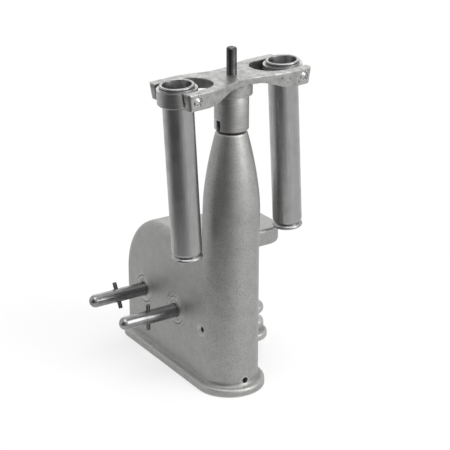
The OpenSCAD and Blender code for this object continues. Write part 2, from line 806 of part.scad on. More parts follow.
module pinion() {
    outline = gear_outline(pinion_teeth, pinion_pitch_r, pressure_angle,
        pinion_pitch_r - root_share * spur_module, pinion_pitch_r + spur_module, backlash);
    color("#7f8083") translate([-low_shaft_back, 0, shaft_z]) difference() {
        translate([0, spur_start, 0]) along_y() linear_extrude(spur_w) polygon(outline);
        translate([0, spur_start - cut, 0]) along_y() cylinder(r = shaft_r, h = case_half);
    }
}

module low_spacer() {
    color("#8b8c8e") translate([-low_shaft_back, 0, shaft_z]) difference() {
        translate([0, -hub_face, 0]) along_y() cylinder(r = hub_r, h = hub_face + spur_start);
        hub_cuts(wheel_pin_y);
    }
}

module pinion_pin() {
    color("#6a6b6d") translate([-low_shaft_back, wheel_pin_y, shaft_z]) cross_bar(hub_pin_r, 2 * hub_r);
}

// Spindle and rotor

module spindle() {
    color("#58595b") difference() {
        rotate_extrude() polygon([
            [0, spindle_bottom_z], [spindle_r, spindle_bottom_z], [spindle_r, spindle_shoulder_z],
            [spindle_neck_r, spindle_shoulder_z], [spindle_neck_r, yoke_top_z], [spindle_end_r, yoke_top_z],
            [spindle_end_r, spindle_top_z - spindle_end_taper],
            [spindle_end_r - spindle_end_taper, spindle_top_z], [0, spindle_top_z]
        ]);
        translate([0, 0, worm_pin_z]) along_y() cross_bar(hub_pin_r, 4 * spindle_r);
        translate([0, 0, drive_pin_z]) rotate([0, 0, rotor_turn]) rotate([0, 90, 0])
            cross_bar(drive_pin_r, 4 * spindle_r);
    }
}

module worm() {
    slant = atan(tan(pressure_angle) / worm_cos);
    outline = gear_outline(worm_starts, worm_pitch_r, slant, worm_pitch_r - root_share * normal_module,
        worm_pitch_r + normal_module, backlash / worm_cos);
    turn = 360 * worm_len / worm_lead;
    color("#77797c") difference() {
        union() {
            translate([0, 0, shaft_z]) rotate([0, 0, 180 - turn / 2])
                linear_extrude(worm_len, center = true, twist = -turn, slices = worm_slices) polygon(outline);
            translate([0, 0, shaft_z - worm_len / 2 - worm_collar_len])
                cylinder(r = worm_collar_r, h = worm_collar_len + cut);
        }
        translate([0, 0, spindle_bottom_z]) cylinder(r = spindle_r, h = column_top_z);
        translate([0, 0, worm_pin_z]) along_y() cross_bar(hub_pin_r, 4 * worm_collar_r);
    }
}

module worm_pin() {
    color("#6a6b6d") translate([0, 0, worm_pin_z]) along_y() cross_bar(hub_pin_r, 2 * worm_collar_r);
}

module drive_pin() {
    color("#6a6b6d") translate([0, 0, drive_pin_z]) rotate([0, 0, rotor_turn]) rotate([0, 90, 0])
        cross_bar(drive_pin_r, drive_pin_len);
}

module rotor_sleeve() {
    bevel = sleeve_r / 12;
    color("#8f9092") difference() {
        rotate_extrude() polygon([
            [0, sleeve_bottom_z], [sleeve_r - bevel, sleeve_bottom_z], [sleeve_r, sleeve_bottom_z + bevel],
            [sleeve_r, sleeve_top_z], [spigot_r, sleeve_top_z], [spigot_r, sleeve_top_z + spigot_len],
            [0, sleeve_top_z + spigot_len]
        ]);
        translate([0, 0, sleeve_bottom_z - cut])
            cylinder(r = spindle_r + run_gap, h = spindle_shoulder_z - sleeve_bottom_z + cut);
        translate([0, 0, sleeve_bottom_z])
            cylinder(r = spindle_neck_r + run_gap, h = hub_boss_h + sleeve_len);
        rotate([0, 0, rotor_turn]) translate([-sleeve_r - cut, -slot_w / 2, sleeve_bottom_z - cut])
            cube([2 * (sleeve_r + cut), slot_w, slot_h + cut]);
    }
}

// Half the width of the yoke at a distance from the spindle
function yoke_half(x) = yoke_mid_half + (jaw_out - yoke_mid_half) * ease(x, 0, slot_centre);
// Depth of the yoke at a distance from the spindle
function yoke_depth(x) = yoke_mid_t + (yoke_tip_t - yoke_mid_t) * ease(x, depth_start, depth_end);

// Plan of the yoke along the rotor's X axis, before its slots are cut
module yoke_plan() {
    edge = concat([for (x = levels(0, slot_centre)) [x, yoke_half(x)]],
        [[yoke_tip - prong_round, jaw_out], [yoke_tip, jaw_out - prong_round]]);
    for (turn = [0, 180]) rotate(turn) polygon(concat(edge,
        [for (i = [len(edge) - 1:-1:0]) [edge[i].x, -edge[i].y]]));
}

// Side view of the yoke along the rotor's X axis, its top at the yoke's top
module yoke_side() {
    low = concat([for (x = levels(depth_start, depth_end)) [x, -yoke_depth(x)]],
        [[yoke_tip, -yoke_tip_t]]);
    polygon(concat([[-yoke_tip, 0], [yoke_tip, 0]], [for (i = [len(low) - 1:-1:0]) low[i]],
        [for (p = low) [-p.x, p.y]]));
}

module yoke() {
    color("#a4a5a6") translate([0, 0, yoke_top_z]) rotate([0, 0, rotor_turn]) difference() {
        union() {
            intersection() {
                translate([0, 0, -hub_boss_h]) linear_extrude(hub_boss_h) yoke_plan();
                rotate([90, 0, 0]) linear_extrude(2 * (jaw_out + cut), center = true) yoke_side();
            }
            translate([0, 0, -hub_boss_h]) cylinder(r = hub_boss_r, h = hub_boss_h - yoke_mid_t / 2);
        }
        for (side = [-1, 1]) {
            translate([side * slot_centre, 0, -hub_boss_h - cut])
                cylinder(r = slot_r, h = hub_boss_h + 2 * cut);
            translate([side > 0 ? slot_centre : -slot_centre - pivot_r, -slot_r, -hub_boss_h - cut])
                cube([pivot_r, 2 * slot_r, hub_boss_h + 2 * cut]);
            for (face = [-1, 1]) translate([side * pivot_r, 0, -pivot_drop]) rotate([face * 90, 0, 0]) {
                cylinder(r = pivot_screw_r, h = jaw_out + cut);
                translate([0, 0, jaw_out - pivot_recess]) cylinder(r = pivot_head_r, h = pivot_recess + cut);
            }
        }
        translate([0, 0, -hub_boss_h - cut]) cylinder(r = spigot_r, h = spigot_len + cut);
        translate([0, 0, -hub_boss_h]) cylinder(r = spindle_neck_r + run_gap, h = hub_boss_h + cut);
    }
}

// One pivot screw along Z, its head's seat at the given height
module pivot_screw(seat) {
    dome_r = (pivot_head_r * pivot_head_r + pivot_dome * pivot_dome) / (2 * pivot_dome);
    translate([0, 0, pivot_tip + pivot_point_h])
        cylinder(r = pivot_screw_r, h = seat - pivot_tip - pivot_point_h);
    translate([0, 0, pivot_tip])
        cylinder(r1 = pivot_screw_r / 2, r2 = pivot_screw_r, h = pivot_point_h);
    translate([0, 0, seat]) difference() {
        intersection() {
            cylinder(r = pivot_head_r, h = 2 * pivot_dome);
            translate([0, 0, pivot_dome - dome_r]) sphere(dome_r);
        }
        for (side = [-1, 1]) rotate([0, 0, side * cross_recess_turn])
            translate([-cross_recess_len / 2, -cross_recess_w / 2, pivot_dome - cross_recess_depth])
                cube([cross_recess_len, cross_recess_w, cross_recess_depth + cut]);
    }
}

module pivot_screws() {
    color("#d4d5d7") translate([0, 0, pivot_z]) rotate([0, 0, rotor_turn])
        for (side = [-1, 1]) for (face = [-1, 1]) translate([side * pivot_r, 0, 0])
            rotate([face * 90, 0, 0]) pivot_screw(jaw_out - pivot_recess);
}

// Places its children at a pivot, leaning, with the pivot at the origin
module at_pivot(side) {
    translate([0, 0, pivot_z]) rotate([0, 0, rotor_turn]) translate([side * pivot_r, 0, 0])
        rotate([0, -shield_lean, 0]) children();
}

module trunnion_ring() {
    inner = shield_r + run_gap;
    difference() {
        rotate_extrude() polygon([
            [inner, ring_bottom], [ring_r - ring_chamfer, ring_bottom],
            [ring_r, ring_bottom + ring_chamfer], [ring_r, ring_top - ring_rim_h],
            [ring_rim_r, ring_top - ring_rim_h], [ring_rim_r, ring_top], [inner, ring_top]
        ]);
        for (face = [-1, 1]) rotate([face * 90, 0, 0]) translate([0, 0, shield_r])
            cylinder(r = pivot_screw_r + run_gap, h = 2 * ring_wall);
    }
}

module shield() {
    floor_z = shield_floor - shield_drop;
    difference() {
        rotate_extrude() {
            polygon([
                [0, -shield_drop], [shield_r - bead_r, -shield_drop], [waist_r, bead_r - shield_drop],
                [waist_r, 2 * bead_r - shield_drop], [shield_r, shield_floor - shield_drop],
                [shield_r, ring_top], [lip_out_r, ring_top], [lip_out_r, lip_rise], [0, lip_rise]
            ]);
            translate([shield_r + bead_r / 6 - bead_r, bead_r - shield_drop]) circle(bead_r);
            translate([lip_out_r, lip_rise - lip_roll_r]) circle(lip_roll_r);
        }
        translate([0, 0, floor_z]) cylinder(r = cushion_seat_r, h = shield_len);
        translate([0, 0, floor_z + cushion_seat_h]) cylinder(r = shield_bore_r, h = shield_len);
        translate([0, 0, -shield_drop - cut]) cylinder(r = waist_r - bead_r, h = shield_dish + cut);
    }
}

module cushion() {
    translate([0, 0, shield_floor - shield_drop]) cylinder(r = cushion_seat_r - cushion_gap, h = cushion_t);
}

module left_trunnion_ring() {
    color("#8c8d8f") at_pivot(-1) trunnion_ring();
}

module left_shield() {
    color("#85868a") at_pivot(-1) shield();
}

module left_cushion() {
    color("#2b2b2c") at_pivot(-1) cushion();
}

module right_trunnion_ring() {
    color("#8c8d8f") at_pivot(1) trunnion_ring();
}

module right_shield() {
    color("#85868a") at_pivot(1) shield();
}

module right_cushion() {
    color("#2b2b2c") at_pivot(1) cushion();
}

// Clamp screw and pad

module at_clamp(z) {
    translate([-clamp_back, screw_y, z]) children();
}

module clamp_pad() {
    rim = pad_t / 4;
    color("#8f9092") at_clamp(pad_z) difference() {
        union() {
            cylinder(r1 = pad_r - rim, r2 = pad_r, h = rim);
            translate([0, 0, rim]) cylinder(r = pad_r, h = pad_t - rim);
        }
        translate([0, 0, -cut]) cylinder(r = screw_tip_r + run_gap, h = cut + screw_tip_len + pad_rest_gap);
    }
}

module clamp_screw() {
    color("#6f7072") difference() {
        union() {
            at_clamp(knob_z + knob_edge_r)
                cylinder(r = screw_r, h = pad_z - pad_rest_gap - knob_z - knob_edge_r);
            at_clamp(pad_z - pad_rest_gap - cut)
                cylinder(r = screw_tip_r, h = screw_tip_len + pad_rest_gap + cut);
        }
        at_clamp(knob_pin_z) rotate([0, 90, 0]) cross_bar(hub_pin_r, 4 * screw_r);
    }
}

module clamp_knob() {
    color("#9a9b9c") difference() {
        union() {
            at_clamp(knob_z) rotate_extrude() {
                square([knob_r - knob_edge_r, knob_rim_h]);
                translate([0, knob_edge_r]) square([knob_r, knob_rim_h - 2 * knob_edge_r]);
                for (z = [knob_edge_r, knob_rim_h - knob_edge_r])
                    translate([knob_r - knob_edge_r, z]) circle(knob_edge_r);
            }
            at_clamp(knob_z + knob_rim_h - cut) cylinder(r = knob_hub_r, h = knob_hub_h + cut);
        }
        at_clamp(knob_z + knob_edge_r) cylinder(r = screw_r, h = knob_top_z);
        at_clamp(knob_pin_z) rotate([0, 90, 0]) cross_bar(hub_pin_r, 4 * knob_hub_r);
    }
}

module knob_pin() {
    color("#5e5f61") at_clamp(knob_pin_z) rotate([0, 90, 0]) cross_bar(hub_pin_r, 2 * knob_hub_r);
}

body_casting();
base_cover();
cover_screws();
upper_bush();
foot_bearing();
foot_ball();
foot_grub_screw();
front_bushes();
rear_bushes();
high_speed_shaft();
high_cross_pin();
worm_wheel();
spur_gear();
wheel_pin();
low_speed_shaft();
low_cross_pin();
pinion();
low_spacer();
pinion_pin();
spindle();
worm();
worm_pin();
drive_pin();
rotor_sleeve();
yoke();
pivot_screws();
left_trunnion_ring();
left_shield();
left_cushion();
right_trunnion_ring();
right_shield();
right_cushion();
clamp_pad();
clamp_screw();
clamp_knob();
knob_pin();
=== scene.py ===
import json
import math
from functools import partial

import bmesh
import bpy
import numpy as np
from mathutils import Matrix, Vector

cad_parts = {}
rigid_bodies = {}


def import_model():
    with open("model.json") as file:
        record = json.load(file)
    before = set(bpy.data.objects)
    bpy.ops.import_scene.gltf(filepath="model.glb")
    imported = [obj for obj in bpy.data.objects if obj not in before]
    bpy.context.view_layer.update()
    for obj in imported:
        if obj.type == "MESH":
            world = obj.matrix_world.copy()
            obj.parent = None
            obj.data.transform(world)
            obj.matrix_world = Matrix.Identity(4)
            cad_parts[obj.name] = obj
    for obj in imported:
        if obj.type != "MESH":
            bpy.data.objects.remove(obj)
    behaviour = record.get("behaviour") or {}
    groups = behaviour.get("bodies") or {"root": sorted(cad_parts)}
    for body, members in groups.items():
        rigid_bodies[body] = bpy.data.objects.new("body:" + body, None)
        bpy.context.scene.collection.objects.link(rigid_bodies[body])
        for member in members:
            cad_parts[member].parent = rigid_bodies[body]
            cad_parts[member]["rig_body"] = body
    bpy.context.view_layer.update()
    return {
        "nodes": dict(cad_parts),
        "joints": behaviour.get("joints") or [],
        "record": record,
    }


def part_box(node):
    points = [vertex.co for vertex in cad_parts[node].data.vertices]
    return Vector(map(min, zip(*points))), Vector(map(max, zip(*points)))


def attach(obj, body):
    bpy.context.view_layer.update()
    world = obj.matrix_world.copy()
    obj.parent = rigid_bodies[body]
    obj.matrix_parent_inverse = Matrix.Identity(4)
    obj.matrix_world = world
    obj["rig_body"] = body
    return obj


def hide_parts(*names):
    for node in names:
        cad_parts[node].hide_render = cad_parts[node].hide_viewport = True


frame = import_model()
print("frame loaded:", len(frame["nodes"]), "nodes")

mm = 0.001
joints = {joint["name"]: joint for joint in frame["joints"]}
mounts = {mount["name"]: mount for mount in frame["record"]["mounts"]}
rightPivot = Vector(joints["right_shield_swing"]["pos_m"])
rotorTurn = math.atan2(rightPivot.y, rightPivot.x)  # the way that the yoke points
weld = 1e-6  # metres, vertices nearer than this become one
near = 1e-5  # metres, as good as in that place
over = 1  # mm that a cutter stands past the face that it cuts
through = 30  # mm, far enough to cut right through
hair = 0.01  # mm left between two rounds that would meet
sides = (-1, 1)
corners = [(side, face) for side in sides for face in sides]


def boxOf(node):
    # two corners in mm
    return [Vector(corner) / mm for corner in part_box(node)]


def sizesOf(piece, names):
    return [piece[name] for name in names.split()]


def rotation(degrees, axis):
    return Matrix.Rotation(math.radians(degrees), 4, axis)


towardsFront = rotation(90, "X")


# selecting and finishing

def deselect():
    if bpy.context.object and bpy.context.object.mode != "OBJECT":
        bpy.ops.object.mode_set(mode="OBJECT")
    bpy.ops.object.select_all(action="DESELECT")


def pick(*pieces):
    deselect()
    for piece in pieces:
        piece.select_set(True)
    bpy.context.view_layer.objects.active = pieces[-1]


def editAll(piece):
    pick(piece)
    bpy.ops.object.mode_set(mode="EDIT")
    bpy.ops.mesh.select_all(action="SELECT")


def modified(piece, kind, **settings):
    modifier = piece.modifiers.new(kind.title(), kind)
    for name, value in settings.items():
        setattr(modifier, name, value)
    pick(piece)
    bpy.ops.object.modifier_apply(modifier=modifier.name)
    return piece


def settle(piece):
    pick(piece)
    bpy.ops.object.transform_apply(location=True, rotation=True, scale=True)
    return piece


def place(piece, matrix):
    piece.matrix_world = matrix
    return settle(piece)


def placeAt(piece, where, turn=Matrix()):
    # turned about the origin, then moved to a place in mm
    return place(piece, Matrix.Translation(Vector(where) * mm) @ turn)


def joined(name, *pieces):
    pick(*pieces)
    bpy.ops.object.join()
    piece = bpy.context.object
    piece.name = name
    return piece


# making shapes

def outwards(piece):
    editAll(piece)
    bpy.ops.mesh.normals_make_consistent(inside=False)
    bpy.ops.object.mode_set(mode="OBJECT")
    return piece


def arc(height, radius, size, start, end, steps=6):
    # heights and radii round a small circle, angles in degrees from straight out
    angles = [math.radians(start + (end - start) * i / steps) for i in range(steps + 1)]
    return [(height + size * math.sin(a), radius + size * math.cos(a)) for a in angles]


def turned(name, outline, steps=72, closed=False):
    # a circle drawn through heights, radii and shifts in mm, as on a lathe, and back to its start if closed
    deselect()
    outline = outline + outline[:1] if closed else outline
    stations = [(s[0] * mm, s[1] * mm, s[2] * mm if len(s) > 2 else 0) for s in outline]
    height, radius, shift = stations[0]
    bpy.ops.mesh.primitive_circle_add(vertices=steps, radius=radius, location=(shift, 0, height))
    piece = settle(bpy.context.object)
    piece.name = name
    editAll(piece)
    for (z0, r0, x0), (z1, r1, x1) in zip(stations, stations[1:]):
        bpy.ops.mesh.extrude_edges_move(TRANSFORM_OT_translate={"value": (x1 - x0, 0, z1 - z0)})
        bpy.ops.transform.resize(value=(r1 / r0, r1 / r0, 1))
    bpy.ops.mesh.select_all(action="SELECT")
    if closed:
        bpy.ops.mesh.remove_doubles(threshold=weld)
    else:
        bpy.ops.mesh.fill_holes(sides=0)
    return outwards(piece)


def turnedFront(name, outline, spot, steps, closed=False):
    # turned round a line that runs to the front through a spot
    return placeAt(turned(name, outline, steps, closed), (spot.x, 0, spot.z), towardsFront)


def block(name, low, high):
    # a block between two corners in mm
    low, high = Vector(low) * mm, Vector(high) * mm
    deselect()
    bpy.ops.mesh.primitive_cube_add(size=1, location=(low + high) / 2, scale=high - low)
    piece = settle(bpy.context.object)
    piece.name = name
    return piece


def roundEdges(piece, radius, segments, test):
    editAll(piece)
    bpy.ops.mesh.select_mode(type="EDGE")
    bpy.ops.mesh.select_all(action="DESELECT")
    mesh = bmesh.from_edit_mesh(piece.data)
    for edge in mesh.edges:
        edge.select = test(edge)
    bmesh.update_edit_mesh(piece.data)
    bpy.ops.mesh.bevel(offset=radius * mm, segments=segments, affect="EDGES", clamp_overlap=False)
    bpy.ops.mesh.select_all(action="SELECT")
    bpy.ops.mesh.remove_doubles(threshold=weld)
    bpy.ops.object.mode_set(mode="OBJECT")
    return piece


def upright(edge, side, where):
    # an upright edge at that end of a block, side 0 for X and 1 for Y
    first, second = (vert.co for vert in edge.verts)
    isUpright = abs(first.z - second.z) > mm
    return isUpright and all(abs(co[side] - where * mm) < near for co in (first, second))


def sharp(edge, degrees=50):
    return edge.calc_face_angle(0) > math.radians(degrees)


def eased(piece, radius, segments=3, degrees=35):
    # a small round along every sharp edge
    return modified(piece, "BEVEL", width=radius * mm, segments=segments, limit_method="ANGLE",
                    angle_limit=math.radians(degrees), use_clamp_overlap=True)


def cutAway(piece, *cutters):
    for cutter in cutters:
        modified(piece, "BOOLEAN", operation="DIFFERENCE", solver="EXACT", object=cutter)
        bpy.data.objects.remove(cutter)
    return piece


def cast(piece, voxel, fillet, smoothing):
    # grows into one skin with soft inner corners, as metal leaves a mould
    for grow in (fillet, -fillet):
        modified(piece, "REMESH", mode="VOXEL", voxel_size=voxel * mm, use_smooth_shade=True)
        modified(piece, "DISPLACE", strength=grow * mm, mid_level=0)
    return modified(piece, "SMOOTH", factor=0.5, iterations=smoothing)


wearSheenShadeRange = {"steepest": 0.4, "flat": 0.5, "gain": 4, "tiny": 1e-9}


def wearSheenShadeMap(piece, passes):
    # 0.5 on flats, more on outer corners, less in inner ones; it drives wear and a painted highlight on outer
    # corners and painted shade in inner ones
    mesh = piece.data
    count = len(mesh.vertices)
    places = np.empty(count * 3)
    normals = np.empty(count * 3)
    mesh.vertices.foreach_get("co", places)
    mesh.vertices.foreach_get("normal", normals)
    places, normals = places.reshape(-1, 3), normals.reshape(-1, 3)
    ends = np.empty(len(mesh.edges) * 2, dtype=np.int64)
    mesh.edges.foreach_get("vertices", ends)
    ends = ends.reshape(-1, 2)
    lengths = np.linalg.norm(places[ends[:, 0]] - places[ends[:, 1]], axis=1) + wearSheenShadeRange["tiny"]

    def around(values):
        total = np.zeros((count,) + values.shape[1:])
        for here, there in ((0, 1), (1, 0)):
            np.add.at(total, ends[:, here], values[ends[:, there]])
        return total

    degree = np.bincount(ends.ravel(), minlength=count).clip(1)
    bend = ((places - around(places) / degree[:, None]) * normals).sum(axis=1)
    reach = np.bincount(ends.ravel(), weights=np.repeat(lengths, 2), minlength=count) / degree
    bend = np.clip(bend / (reach + wearSheenShadeRange["tiny"]), -wearSheenShadeRange["steepest"], wearSheenShadeRange["steepest"])
    for _ in range(passes):
        bend = 0.5 * bend + 0.5 * around(bend) / degree
    layer = mesh.attributes.new("wear", "FLOAT", "POINT")
    wornSheen = np.clip(wearSheenShadeRange["flat"] + bend * wearSheenShadeRange["gain"], 0, 1)
    layer.data.foreach_set("value", wornSheen.astype(np.float32))


def finished(piece, material, body, slotName, *nodes, degrees=35):
    pick(piece)
    bpy.ops.object.shade_smooth_by_angle(angle=math.radians(degrees))
    piece.data.materials.clear()
    piece.data.materials.append(material)
    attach(piece, body)
    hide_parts(*nodes)
    return piece


# materials

def linear(hexColour):
    # sRGB hex to linear light
    values = [int(hexColour[i:i + 2], 16) / 255 for i in (1, 3, 5)]
    return tuple(v / 12.92 if v <= 0.04045 else ((v + 0.055) / 1.055) ** 2.4 for v in values) + (1,)


# inputs by number: MapRange reads 1 to 2 and gives 3 to 4, Mix has its share in 0, its colours in 6 and 7

def addNode(tree, kind, settings=None, links=None):
    # in the links, a node stands for its first output in use
    node = tree.nodes.new("ShaderNode" + kind)
    for name, value in (settings or {}).items():
        if isinstance(name, int) or name in node.inputs:
            node.inputs[name].default_value = value
        else:
            setattr(node, name, value)
    for name, source in (links or {}).items():
        if isinstance(source, bpy.types.Node):
            source = next(output for output in source.outputs if output.enabled)
        tree.links.new(source, node.inputs[name])
    return node


def newMaterial(name):
    material = bpy.data.materials.new(name)
    material.use_nodes = True
    tree = material.node_tree
    tree.nodes.clear()
    add = partial(addNode, tree)
    return material, add, add("TexCoord").outputs["Object"]


def perMetre(size):
    # noise scale for a feature of that size in mm
    return 1 / (size * mm)


def finishMaterial(add, settings, links):
    shader = add("BsdfPrincipled", settings, links)
    add("OutputMaterial", None, {"Surface": shader})


# the bright corner colour is wear and a painted highlight; the dark inner-corner colour is painted shade
castLook = {"light": "#a2a2a0", "dark": "#9a9a98", "wornSheen": "#c2c2c0", "pit": "#444442", "sand": "#7a7a78",
            "paintedShade": "#4c4c4a", "grain": 0.8, "cloud": 7.0, "pitSize": 3.0, "pitSpread": 11, "depth": 0.16}


def sandCastAluminium():
    # aluminium poured in sand and tumbled: fine grain, cloudy tone, corners brighter as wear and as a painted
    # highlight, inner corners darker as painted shade
    material, add, where = newMaterial("sandCastAluminium")
    look = castLook
    grain = add("TexNoise", {"Scale": perMetre(look["grain"]), "Detail": 4, "Roughness": 0.6},
                {"Vector": where})
    cloud = add("TexNoise", {"Scale": perMetre(look["cloud"]), "Detail": 4, "Roughness": 0.55},
                {"Vector": where})
    clouded = add("MapRange", {1: 0.35, 2: 0.65}, {0: cloud})
    tone = add("Mix", {"data_type": "RGBA", 6: linear(look["light"]), 7: linear(look["dark"])},
               {0: clouded})
    sandy = add("MapRange", {1: 0.5, 2: 0.7, 4: 0.8}, {0: grain})
    wear = add("Attribute", {"attribute_name": "wear"}).outputs["Fac"]
    # outer corners brightened, partly as wear and partly as a painted highlight
    corner = add("MapRange", {1: 0.58, 2: 0.85, 4: 0.8}, {0: wear})
    patchy = add("MapRange", {1: 0.3, 2: 0.6, 3: 0.35}, {0: cloud})
    rubbedSheen = add("Math", {"operation": "MULTIPLY"}, {0: corner, 1: patchy})
    # inner corners and hollows darkened: painted shade
    paintedShadeAmount = add("MapRange", {1: 0.42, 2: 0.25, 4: 0.3}, {0: wear})
    spots = add("TexVoronoi", {"Scale": perMetre(look["pitSize"])}, {"Vector": where})
    pits = add("MapRange", {1: 0.1, 2: 0.05}, {0: spots})
    spread = add("TexNoise", {"Scale": perMetre(look["pitSpread"]), "Detail": 1}, {"Vector": where})
    rare = add("MapRange", {1: 0.55, 2: 0.62}, {0: spread})
    pitted = add("Math", {"operation": "MULTIPLY"}, {0: pits, 1: rare})
    for amount, colour in ((sandy, "sand"), (rubbedSheen, "wornSheen"), (paintedShadeAmount, "paintedShade"), (pitted, "pit")):
        tone = add("Mix", {"data_type": "RGBA", 7: linear(look[colour])}, {0: amount, 6: tone})
    normal = add("Bump", {"Distance": look["depth"] * mm, "Strength": 0.5}, {"Height": grain})
    roughness = add("MapRange", {1: 0.3, 2: 0.7, 3: 0.42, 4: 0.56}, {0: grain})
    finishMaterial(add, {"Metallic": 1.0}, {"Base Color": tone, "Roughness": roughness, "Normal": normal})
    return material


metalLook = {"cloud": 9, "stain": 6}
rubberLook = {"light": "#1c1c1c", "dark": "#2b2b2a", "fine": 0.7, "depth": 0.05, "roughness": 0.8}


def brushedMetal(name, light, dark, size, stretch, turn=(0, 0, 0), rough=(0.24, 0.38), depth=0.012):
    # fine lines drawn out along one way by polishing
    material, add, where = newMaterial(name)
    drawn = add("Mapping", {"vector_type": "TEXTURE", "Rotation": turn, "Scale": stretch},
                {"Vector": where})
    streak = add("TexNoise", {"Scale": perMetre(size), "Detail": 3, "Roughness": 0.6}, {"Vector": drawn})
    cloud = add("TexNoise", {"Scale": perMetre(metalLook["cloud"]), "Detail": 3}, {"Vector": where})
    streaked = add("MapRange", {1: 0.3, 2: 0.7}, {0: streak})
    clouded = add("MapRange", {1: 0.45, 2: 0.75, 4: 0.6}, {0: cloud})
    tone = add("Mix", {"data_type": "RGBA", 6: linear(light), 7: linear(dark)}, {0: streaked})
    tone = add("Mix", {"data_type": "RGBA", 7: linear(dark)}, {0: clouded, 6: tone})
    normal = add("Bump", {"Distance": depth * mm, "Strength": 0.6}, {"Height": streak})
    roughness = add("MapRange", {1: 0.35, 2: 0.65, 3: rough[0], 4: rough[1]}, {0: cloud})
    finishMaterial(add, {"Metallic": 1.0}, {"Base Color": tone, "Roughness": roughness, "Normal": normal})
    return material


def smoothSteel(name, light, dark, rough=(0.2, 0.34), grain=1.5, depth=0.008):
    # ground steel with a fine, even surface and faint stains
    material, add, where = newMaterial(name)
    stain = add("TexNoise", {"Scale": perMetre(metalLook["stain"]), "Detail": 4, "Roughness": 0.6},
                {"Vector": where})
    fine = add("TexNoise", {"Scale": perMetre(grain), "Detail": 2}, {"Vector": where})
    stained = add("MapRange", {1: 0.35, 2: 0.7}, {0: stain})
    tone = add("Mix", {"data_type": "RGBA", 6: linear(light), 7: linear(dark)}, {0: stained})
    normal = add("Bump", {"Distance": depth * mm, "Strength": 0.5}, {"Height": fine})
    roughness = add("MapRange", {1: 0.3, 2: 0.7, 3: rough[0], 4: rough[1]}, {0: stain})
    finishMaterial(add, {"Metallic": 1.0}, {"Base Color": tone, "Roughness": roughness, "Normal": normal})
    return material


# the bright corner colour is wear and a painted highlight
nickelLook = {"light": "#a3a3a1", "dark": "#868684", "mark": "#4a4a48", "wornSheen": "#dcdcda", "stain": 5,
              "fine": 0.8, "fineDepth": 0.03, "scratch": 0.9, "scratchDepth": 0.01, "stretch": (8, 1, 1),
              "markSize": 4, "markSpread": 12}


def forgedNickel():
    # forged steel, ground flat and nickel plated: fine scratches, pits and grey stains
    material, add, where = newMaterial("forgedNickelPlate")
    look = nickelLook
    stain = add("TexNoise", {"Scale": perMetre(look["stain"]), "Detail": 5, "Roughness": 0.65},
                {"Vector": where})
    fine = add("TexNoise", {"Scale": perMetre(look["fine"]), "Detail": 3, "Roughness": 0.6},
               {"Vector": where})
    along = add("Mapping", {"vector_type": "TEXTURE", "Rotation": (0, 0, rotorTurn),
                            "Scale": look["stretch"]}, {"Vector": where})
    scratch = add("TexNoise", {"Scale": perMetre(look["scratch"]), "Detail": 2}, {"Vector": along})
    stained = add("MapRange", {1: 0.4, 2: 0.68}, {0: stain})
    tone = add("Mix", {"data_type": "RGBA", 6: linear(look["light"]), 7: linear(look["dark"])},
               {0: stained})
    spots = add("TexVoronoi", {"Scale": perMetre(look["markSize"])}, {"Vector": where})
    spread = add("TexNoise", {"Scale": perMetre(look["markSpread"]), "Detail": 2}, {"Vector": where})
    pits = add("MapRange", {1: 0.2, 2: 0.1, 4: 0.8}, {0: spots})
    rare = add("MapRange", {1: 0.44, 2: 0.54}, {0: spread})
    marked = add("Math", {"operation": "MULTIPLY"}, {0: pits, 1: rare})
    wear = add("Attribute", {"attribute_name": "wear"}).outputs["Fac"]
    # outer corners brightened, partly as wear and partly as a painted highlight
    rubbedSheen = add("MapRange", {1: 0.6, 2: 0.85, 4: 0.7}, {0: wear})
    for amount, colour in ((marked, "mark"), (rubbedSheen, "wornSheen")):
        tone = add("Mix", {"data_type": "RGBA", 7: linear(look[colour])}, {0: amount, 6: tone})
    normal = add("Bump", {"Distance": look["fineDepth"] * mm, "Strength": 0.5}, {"Height": fine})
    normal = add("Bump", {"Distance": look["scratchDepth"] * mm, "Strength": 0.4},
                 {"Height": scratch, "Normal": normal})
    roughness = add("MapRange", {1: 0.3, 2: 0.7, 3: 0.36, 4: 0.5}, {0: stain})
    finishMaterial(add, {"Metallic": 1.0}, {"Base Color": tone, "Roughness": roughness, "Normal": normal})
    return material


def mouldedRubber():
    # soft black rubber, faintly grained
    material, add, where = newMaterial("mouldedRubber")
    look = rubberLook
    fine = add("TexNoise", {"Scale": perMetre(look["fine"]), "Detail": 3}, {"Vector": where})
    tone = add("Mix", {"data_type": "RGBA", 6: linear(look["light"]), 7: linear(look["dark"])}, {0: fine})
    normal = add("Bump", {"Distance": look["depth"] * mm, "Strength": 0.5}, {"Height": fine})
    finishMaterial(add, {"Metallic": 0.0, "Roughness": look["roughness"]},
                   {"Base Color": tone, "Normal": normal})
    return material


leanAxis = Vector(mounts["left_shield_bore"]["axis"])
leanTurn = leanAxis.to_track_quat("Z", "Y").to_euler()

castAluminium = sandCastAluminium()
nickelYoke = forgedNickel()
drawnTube = brushedMetal("drawnNickelTube", "#a4a4a4", "#8e8e8f", 0.5, (1, 1, 40), leanTurn,
                         (0.26, 0.36), 0.004)
turnedNickel = brushedMetal("turnedNickel", "#b2b2b1", "#8f8f8e", 0.5, (14, 14, 1), (0, 0, 0),
                            (0.36, 0.48), 0.005)
turnedRing = brushedMetal("turnedRing", "#b0b0b0", "#8e8e8e", 0.4, (14, 14, 1), leanTurn, (0.28, 0.4))
groundSteel = smoothSteel("groundShaftSteel", "#969697", "#7e7e7f", (0.2, 0.28), 1.5, 0.002)
spindleSteel = smoothSteel("darkSpindleSteel", "#58585a", "#3e3e3f", (0.3, 0.42))
drawnPin = smoothSteel("drawnPinSteel", "#6d6d6e", "#48484a", (0.3, 0.42))
polishedNickel = smoothSteel("polishedScrewNickel", "#c4c4c6", "#a4a4a6", (0.16, 0.24), 3, 0.002)
